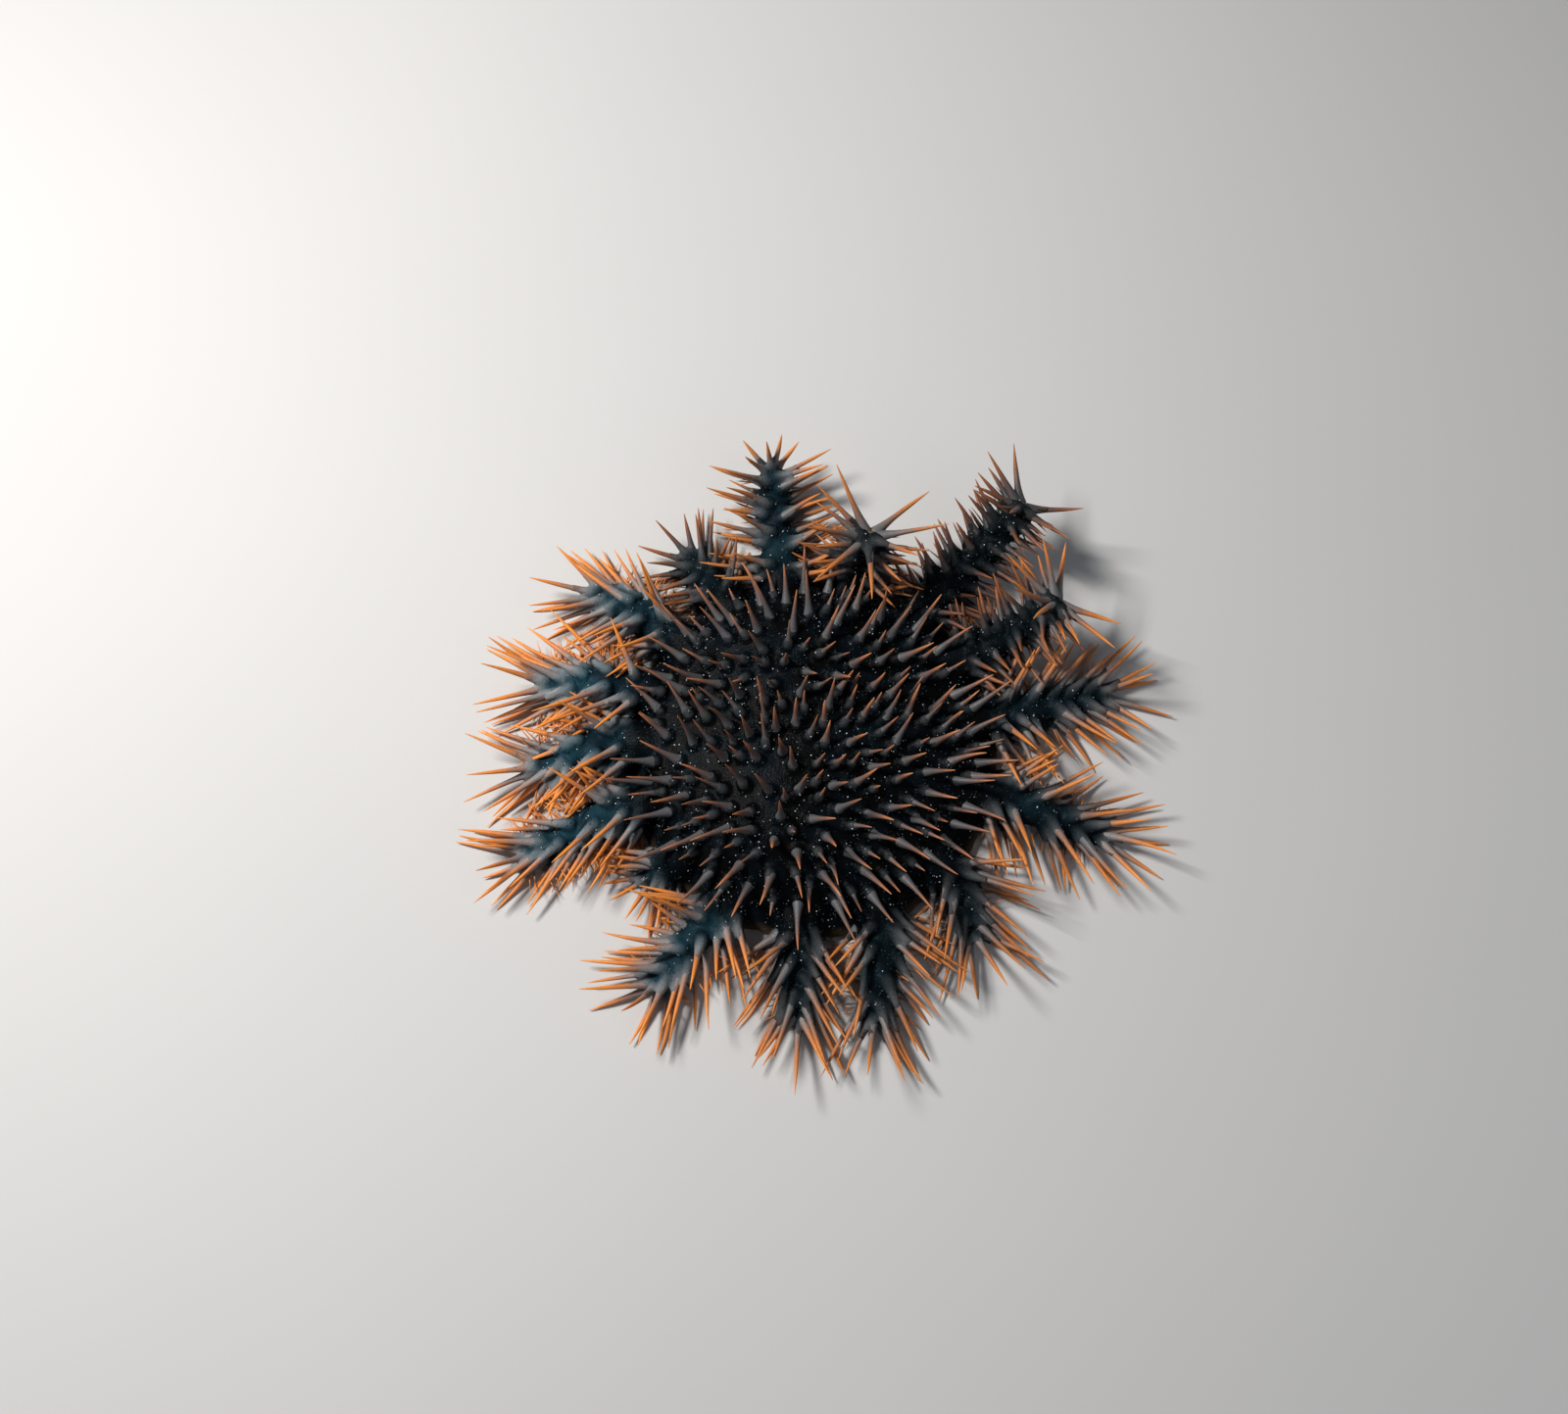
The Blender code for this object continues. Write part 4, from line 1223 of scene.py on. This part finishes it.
class Look:
    """A node material, built from its shader back."""

    def __init__(self, name):
        self.material = bpy.data.materials.new(name)
        self.material.use_nodes = True
        self.tree = self.material.node_tree
        self.shader = self.tree.nodes["Principled BSDF"]
        self.place = self.node("TexCoord").outputs["Object"]

    def put(self, source, socket):
        if hasattr(source, "is_linked"):
            self.tree.links.new(source, socket)
        else:
            socket.default_value = source

    def node(self, kind, sources=(), **settings):
        """A new node with its settings, and what feeds its sockets."""
        node = self.tree.nodes.new("ShaderNode" + kind)
        for name, setting in settings.items():
            setattr(node, name, setting)
        for name, source in dict(sources).items():
            self.put(source, node.inputs[name])
        return node

    def value(self, name):
        return self.node("Attribute", attribute_name=name).outputs["Fac"]

    def maths(self, operation, first, second, clamp=False):
        sources = {0: first, 1: second}
        return self.node("Math", sources, operation=operation, use_clamp=clamp).outputs[0]

    def scaled(self, value, times, least):
        """A value times a number, plus another."""
        return self.maths("ADD", self.maths("MULTIPLY", value, times), least)

    def shifted(self, value, span):
        """A value from 0 to 1 as a shift to both sides of 0."""
        return self.maths("MULTIPLY", self.maths("SUBTRACT", value, 0.5), span)

    def between(self, value, low, high):
        sources = {"Value": value, "From Min": low, "From Max": high}
        return self.node("MapRange", sources, interpolation_type="SMOOTHSTEP").outputs["Result"]

    def mix(self, factor, first, second, kind="MIX"):
        sources = {"Factor": factor, COLOUR_A: first, COLOUR_B: second}
        node = self.node("Mix", sources, data_type="RGBA", blend_type=kind)
        return node.outputs[COLOUR_RESULT]

    def noise(self, scale, detail=3.0):
        sources = {"Scale": scale, "Detail": detail, "Vector": self.place}
        return self.node("TexNoise", sources).outputs["Fac"]

    def cells(self, scale):
        return self.node("TexVoronoi", {"Scale": scale, "Vector": self.place}).outputs["Distance"]

    def ramp(self, value, stops):
        node = self.node("ValToRGB", {"Fac": value})
        band = node.color_ramp
        band.elements[0].position, band.elements[0].color = stops[0]
        band.elements[1].position, band.elements[1].color = stops[-1]
        for position, colour in stops[1:-1]:
            band.elements.new(position).color = colour
        return node.outputs["Color"]

    def bump(self, height, strength, distance, under=None):
        sources = {"Strength": strength, "Distance": distance, "Height": height}
        if under is not None:
            sources["Normal"] = under
        return self.node("Bump", sources).outputs["Normal"]

    def finish(self, colour, roughness, normal, specular):
        self.put(colour, self.shader.inputs["Base Color"])
        self.put(roughness, self.shader.inputs["Roughness"])
        if normal is not None:
            self.put(normal, self.shader.inputs["Normal"])
        self.put(specular, self.shader.inputs["Specular IOR Level"])
        return self.material


def rgb(red, green, blue):
    return (red, green, blue, 1.0)


DISC_BLACK = rgb(0.0012, 0.0013, 0.0016)
DISC_NAVY = rgb(0.0014, 0.0036, 0.0060)
# Painted shade of the arms' skin, where an arm or its sides are unlit
ARM_SHADED = rgb(0.0016, 0.0036, 0.0052)
ARM_NAVY = rgb(0.0045, 0.0150, 0.0240)
ARM_TEAL = rgb(0.0085, 0.0380, 0.0560)
# Skin drawn up round an arm's spines: a shaded and a lit copy, painted by how lit the arm is
ARM_SLATE = rgb(0.0420, 0.0680, 0.0850)
ARM_BLUE = rgb(0.0820, 0.1240, 0.1460)
# Sheaths: painted shade on the arms, and on the disc their own dark colour
PEDESTAL_DARK = rgb(0.0120, 0.0145, 0.0170)
PEDESTAL_DISC = rgb(0.0360, 0.0400, 0.0440)
# Sheaths where an arm is lit: their own pale grey-blue with painted light
PEDESTAL_LIGHT = rgb(0.2400, 0.2500, 0.2650)
# Ends of the sheaths: a painted shade copy, then their own mauve-brown colour where lit
SHEATH_END_SHADED = rgb(0.0300, 0.0260, 0.0260)
SHEATH_END = rgb(0.2600, 0.1650, 0.1300)
# How fast the sheaths' painted light grows with how lit the arm is
SHEATH_PALER = 0.72
UNDER_PALE = rgb(0.2300, 0.1500, 0.0850)
SKIN_MOTTLE = (rgb(0.25, 0.25, 0.25), rgb(1.7, 1.7, 1.7))
SPINE_SPECKLE = (rgb(0.45, 0.42, 0.40), rgb(1.35, 1.35, 1.35))
GRANULE_COLOURS = (rgb(0.16, 0.18, 0.19), rgb(0.72, 0.74, 0.74))
PAPULA_COLOURS = (rgb(0.004, 0.007, 0.010), rgb(0.020, 0.045, 0.055))
FLOOR_COLOURS = (rgb(0.52, 0.52, 0.52), rgb(0.56, 0.56, 0.56))

# Colours along a spine, from its root to its point
ARM_STOPS = (
    (0.00, rgb(0.150, 0.155, 0.162)),
    (0.22, rgb(0.200, 0.175, 0.168)),
    (0.40, rgb(0.310, 0.165, 0.110)),
    (0.56, rgb(0.550, 0.190, 0.050)),
    (0.76, rgb(0.720, 0.232, 0.034)),
    (1.00, rgb(0.780, 0.290, 0.055)),
)
# Painted shade: colours along the arm spines where they are unlit
ARM_SHADED_STOPS = (
    (0.00, rgb(0.014, 0.018, 0.022)),
    (0.30, rgb(0.030, 0.026, 0.028)),
    (0.60, rgb(0.080, 0.034, 0.024)),
    (1.00, rgb(0.260, 0.085, 0.032)),
)
DISC_STOPS = (
    (0.00, rgb(0.072, 0.078, 0.086)),
    (0.30, rgb(0.080, 0.072, 0.074)),
    (0.60, rgb(0.150, 0.078, 0.058)),
    (0.85, rgb(0.360, 0.130, 0.054)),
    (1.00, rgb(0.520, 0.215, 0.095)),
)
FOOT_STOPS = (
    (0.00, rgb(0.300, 0.160, 0.060)),
    (0.70, rgb(0.480, 0.300, 0.120)),
    (1.00, rgb(0.620, 0.480, 0.260)),
)
FOOT_PALE = rgb(0.600, 0.500, 0.330)


def skin_look():
    look = Look("skin")
    light = look.value("light")
    ridge = look.value("ridge")
    rise = look.value("rise")
    blotch = look.between(look.noise(75.0), 0.42, 0.62)
    disc = look.mix(blotch, DISC_BLACK, DISC_NAVY)
    # Painted light: how lit an arm is, more on its top than on its sides; the unlit skin takes the painted
    # shade
    lit = look.maths("MULTIPLY", light, look.scaled(ridge, 0.85, 0.15))
    arm = look.mix(lit, ARM_SHADED, look.mix(blotch, ARM_TEAL, ARM_NAVY))
    # Painted light on the skin drawn up round the spines: shaded and lit copies by arm, and painted shade
    # where it is unlit
    tent = look.mix(lit, PEDESTAL_DARK, look.mix(light, ARM_SLATE, ARM_BLUE))
    # The low skin between the pedestals stays darker than the skin drawn up on them: partly its own colour,
    # partly painted shade in the hollows
    arm = look.mix(look.between(rise, 0.10, 0.36), arm, tent)
    colour = look.mix(look.value("arm"), disc, arm)
    # Sheaths: painted light and shade by how lit the arm is; on the disc, with nothing lit, their own dark
    # colour
    paler = look.maths("POWER", lit, SHEATH_PALER)
    sheath = look.mix(paler, PEDESTAL_DARK, PEDESTAL_LIGHT)
    colour = look.mix(look.between(rise, 0.20, 0.60), colour, sheath)
    # Ends of the sheaths: their mauve-brown colour, painted as shade where the arm is unlit
    sheath_end = look.mix(light, SHEATH_END_SHADED, SHEATH_END)
    ending = look.maths("MULTIPLY", look.between(rise, 0.62, 0.98), look.value("arm"))
    colour = look.mix(ending, colour, sheath_end)
    on_disc = look.maths("SUBTRACT", 1.0, look.value("arm"))
    foot = look.maths("MULTIPLY", look.between(rise, 0.13, 0.31), on_disc)
    colour = look.mix(foot, colour, PEDESTAL_DISC)
    grain = look.noise(1500.0, detail=2.0)
    mottle = look.maths("MULTIPLY", grain, look.maths("ADD", look.noise(420.0), 0.2))
    mottled = look.mix(mottle, *SKIN_MOTTLE)
    colour = look.mix(0.55, colour, mottled, "MULTIPLY")
    colour = look.mix(look.value("under"), colour, UNDER_PALE)
    granules = look.bump(look.cells(950.0), strength=0.55, distance=0.00035)
    normal = look.bump(look.noise(260.0), strength=0.35, distance=0.0008, under=granules)
    roughness = look.scaled(look.noise(300.0), 0.30, 0.34)
    return look.finish(colour, roughness, normal, 0.05)


def spine_look(name, stops, dark_stops):
    look = Look(name)
    shift = look.shifted(look.value("tone"), 0.26)
    uneven = look.shifted(look.noise(330.0), 0.22)
    along = look.maths("ADD", look.value("along"), look.maths("ADD", shift, uneven), clamp=True)
    bright = look.ramp(along, stops)
    dark = look.ramp(along, dark_stops)
    # Painted light and shade: spines take the shaded colours where unlit, the bright ones where lit; the
    # disc's spines have the same colours in both
    colour = look.mix(look.value("light"), dark, bright)
    speckle = look.between(look.cells(2300.0), 0.15, 0.55)
    colour = look.mix(0.45, colour, look.mix(speckle, *SPINE_SPECKLE), "MULTIPLY")
    fine = look.bump(look.cells(2300.0), strength=0.50, distance=0.00018)
    normal = look.bump(look.noise(700.0), strength=0.40, distance=0.00035, under=fine)
    return look.finish(colour, look.scaled(look.noise(900.0), 0.25, 0.36), normal, 0.40)


def foot_look():
    look = Look("tube_feet")
    colour = look.ramp(look.value("along"), FOOT_STOPS)
    colour = look.mix(look.maths("MULTIPLY", look.value("light"), 0.5), colour, FOOT_PALE)
    normal = look.bump(look.noise(2400.0), strength=0.5, distance=0.0002)
    return look.finish(colour, look.scaled(look.noise(900.0), 0.2, 0.30), normal, 0.45)


def dome_look(name, colours, least_roughness, specular):
    look = Look(name)
    colour = look.mix(look.value("tone"), *colours)
    normal = look.bump(look.noise(2600.0), strength=0.4, distance=0.0002)
    roughness = look.scaled(look.noise(900.0), 0.2, least_roughness)
    return look.finish(colour, roughness, normal, specular)


# Floor, lights and camera
FLOOR_SIZE = 6.0
FLOOR_BELOW = 0.0002
SKY_COLOUR = rgb(0.85, 0.90, 1.0)
SKY_STRENGTH = 0.13
KEY = dict(place=(-0.70, 0.30, 0.95), size=0.24, power=19.5, colour=(1.0, 0.97, 0.93))
FILL = dict(place=(0.85, -0.55, 0.80), size=0.80, power=2.0, colour=(0.90, 0.95, 1.0))
CLIP_START = 0.01


def view_axes():
    rise = math.radians(VIEW_ELEVATION)
    right = Vector((1.0, 0.0, 0.0))
    up = Vector((0.0, math.sin(rise), math.cos(rise)))
    toward = Vector((0.0, -math.cos(rise), math.sin(rise)))
    return right, up, toward


def make_camera():
    right, up, toward = view_axes()
    off_x = (IMAGE_SIZE[0] / 2 - TARGET_PIXEL[0]) * METRES_PER_PIXEL
    off_y = (TARGET_PIXEL[1] - IMAGE_SIZE[1] / 2) * METRES_PER_PIXEL
    place = TARGET + right * off_x + up * off_y + toward * VIEW_DISTANCE
    data = bpy.data.cameras.new("camera")
    data.sensor_width = SENSOR_WIDTH
    data.lens = SENSOR_WIDTH * VIEW_DISTANCE / (IMAGE_SIZE[0] * METRES_PER_PIXEL)
    data.clip_start = CLIP_START
    camera = bpy.data.objects.new("camera", data)
    bpy.context.scene.collection.objects.link(camera)
    turn = Matrix((right, up, toward)).transposed().to_4x4()
    camera.matrix_world = Matrix.Translation(place) @ turn
    bpy.context.scene.camera = camera


def area_light(name, place, size, power, colour):
    data = bpy.data.lights.new(name, "AREA")
    data.size = size
    data.energy = power
    data.color = colour
    lamp = bpy.data.objects.new(name, data)
    lamp.location = place
    lamp.rotation_euler = (-Vector(place)).to_track_quat("-Z", "Y").to_euler()
    bpy.context.scene.collection.objects.link(lamp)


def make_stage():
    bpy.context.scene.view_settings.view_transform = "Standard"
    bpy.ops.mesh.primitive_plane_add(size=FLOOR_SIZE, location=(0.0, 0.0, -FLOOR_BELOW))
    floor = bpy.context.object
    floor.name = "floor"
    look = Look("floor")
    pale = look.mix(look.noise(3.0), *FLOOR_COLOURS)
    floor.data.materials.append(look.finish(pale, 0.85, None, 0.2))
    world = bpy.data.worlds.new("studio")
    world.use_nodes = True
    sky = world.node_tree.nodes["Background"]
    sky.inputs["Color"].default_value = SKY_COLOUR
    sky.inputs["Strength"].default_value = SKY_STRENGTH
    bpy.context.scene.world = world
    area_light("key", **KEY)
    area_light("fill", **FILL)


def rows_of(group, *kinds):
    return [row for row in SPINES if row["node"] == group and row["kind"] in kinds]


def dress(piece, look):
    piece.data.materials.append(look)
    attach(piece, "root")


make_camera()
make_stage()
skin = make_skin()
dress_skin(skin)
dress(skin, skin_look())
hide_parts("disc", *ARM_NAMES)

arm_look = spine_look("arm_spines", ARM_STOPS, ARM_SHADED_STOPS)
disc_look = spine_look("disc_spines", DISC_STOPS, DISC_STOPS)
mesh_draw = random.Random(SEED + 1)
disc_rows = rows_of("disc", "main", "thin")
piece = spine_piece("disc_spines", disc_rows, SPINE_SIDES, SPINE_RINGS, mesh_draw)
dress(piece, disc_look)
for name in ARM_NAMES:
    rows = rows_of(name, "main", "thin")
    piece = spine_piece(name + "_spines", rows, SPINE_SIDES, SPINE_RINGS, mesh_draw)
    dress(piece, arm_look)
for name in ARM_NAMES:
    rows = rows_of(name, "fringe")
    piece = spine_piece(name + "_fringe", rows, FRINGE_SIDES, FRINGE_RINGS, mesh_draw)
    dress(piece, arm_look)
feet = [row for row in SPINES if row["kind"] == "foot"]
piece = spine_piece("tube_feet", feet, FOOT_SIDES, FOOT_RINGS, mesh_draw)
dress(piece, foot_look())

scatter_draw = np.random.default_rng(SEED)
papulae = scatter_piece("papulae", skin, PAPULAE, PAPULA_SIZE, PAPULA_HEIGHT, scatter_draw)
dress(papulae, dome_look("papulae", PAPULA_COLOURS, 0.30, 0.3))
granules = scatter_piece("granules", skin, GRANULES, GRANULE_SIZE, GRANULE_HEIGHT, scatter_draw)
dress(granules, dome_look("granules", GRANULE_COLOURS, 0.35, 0.4))
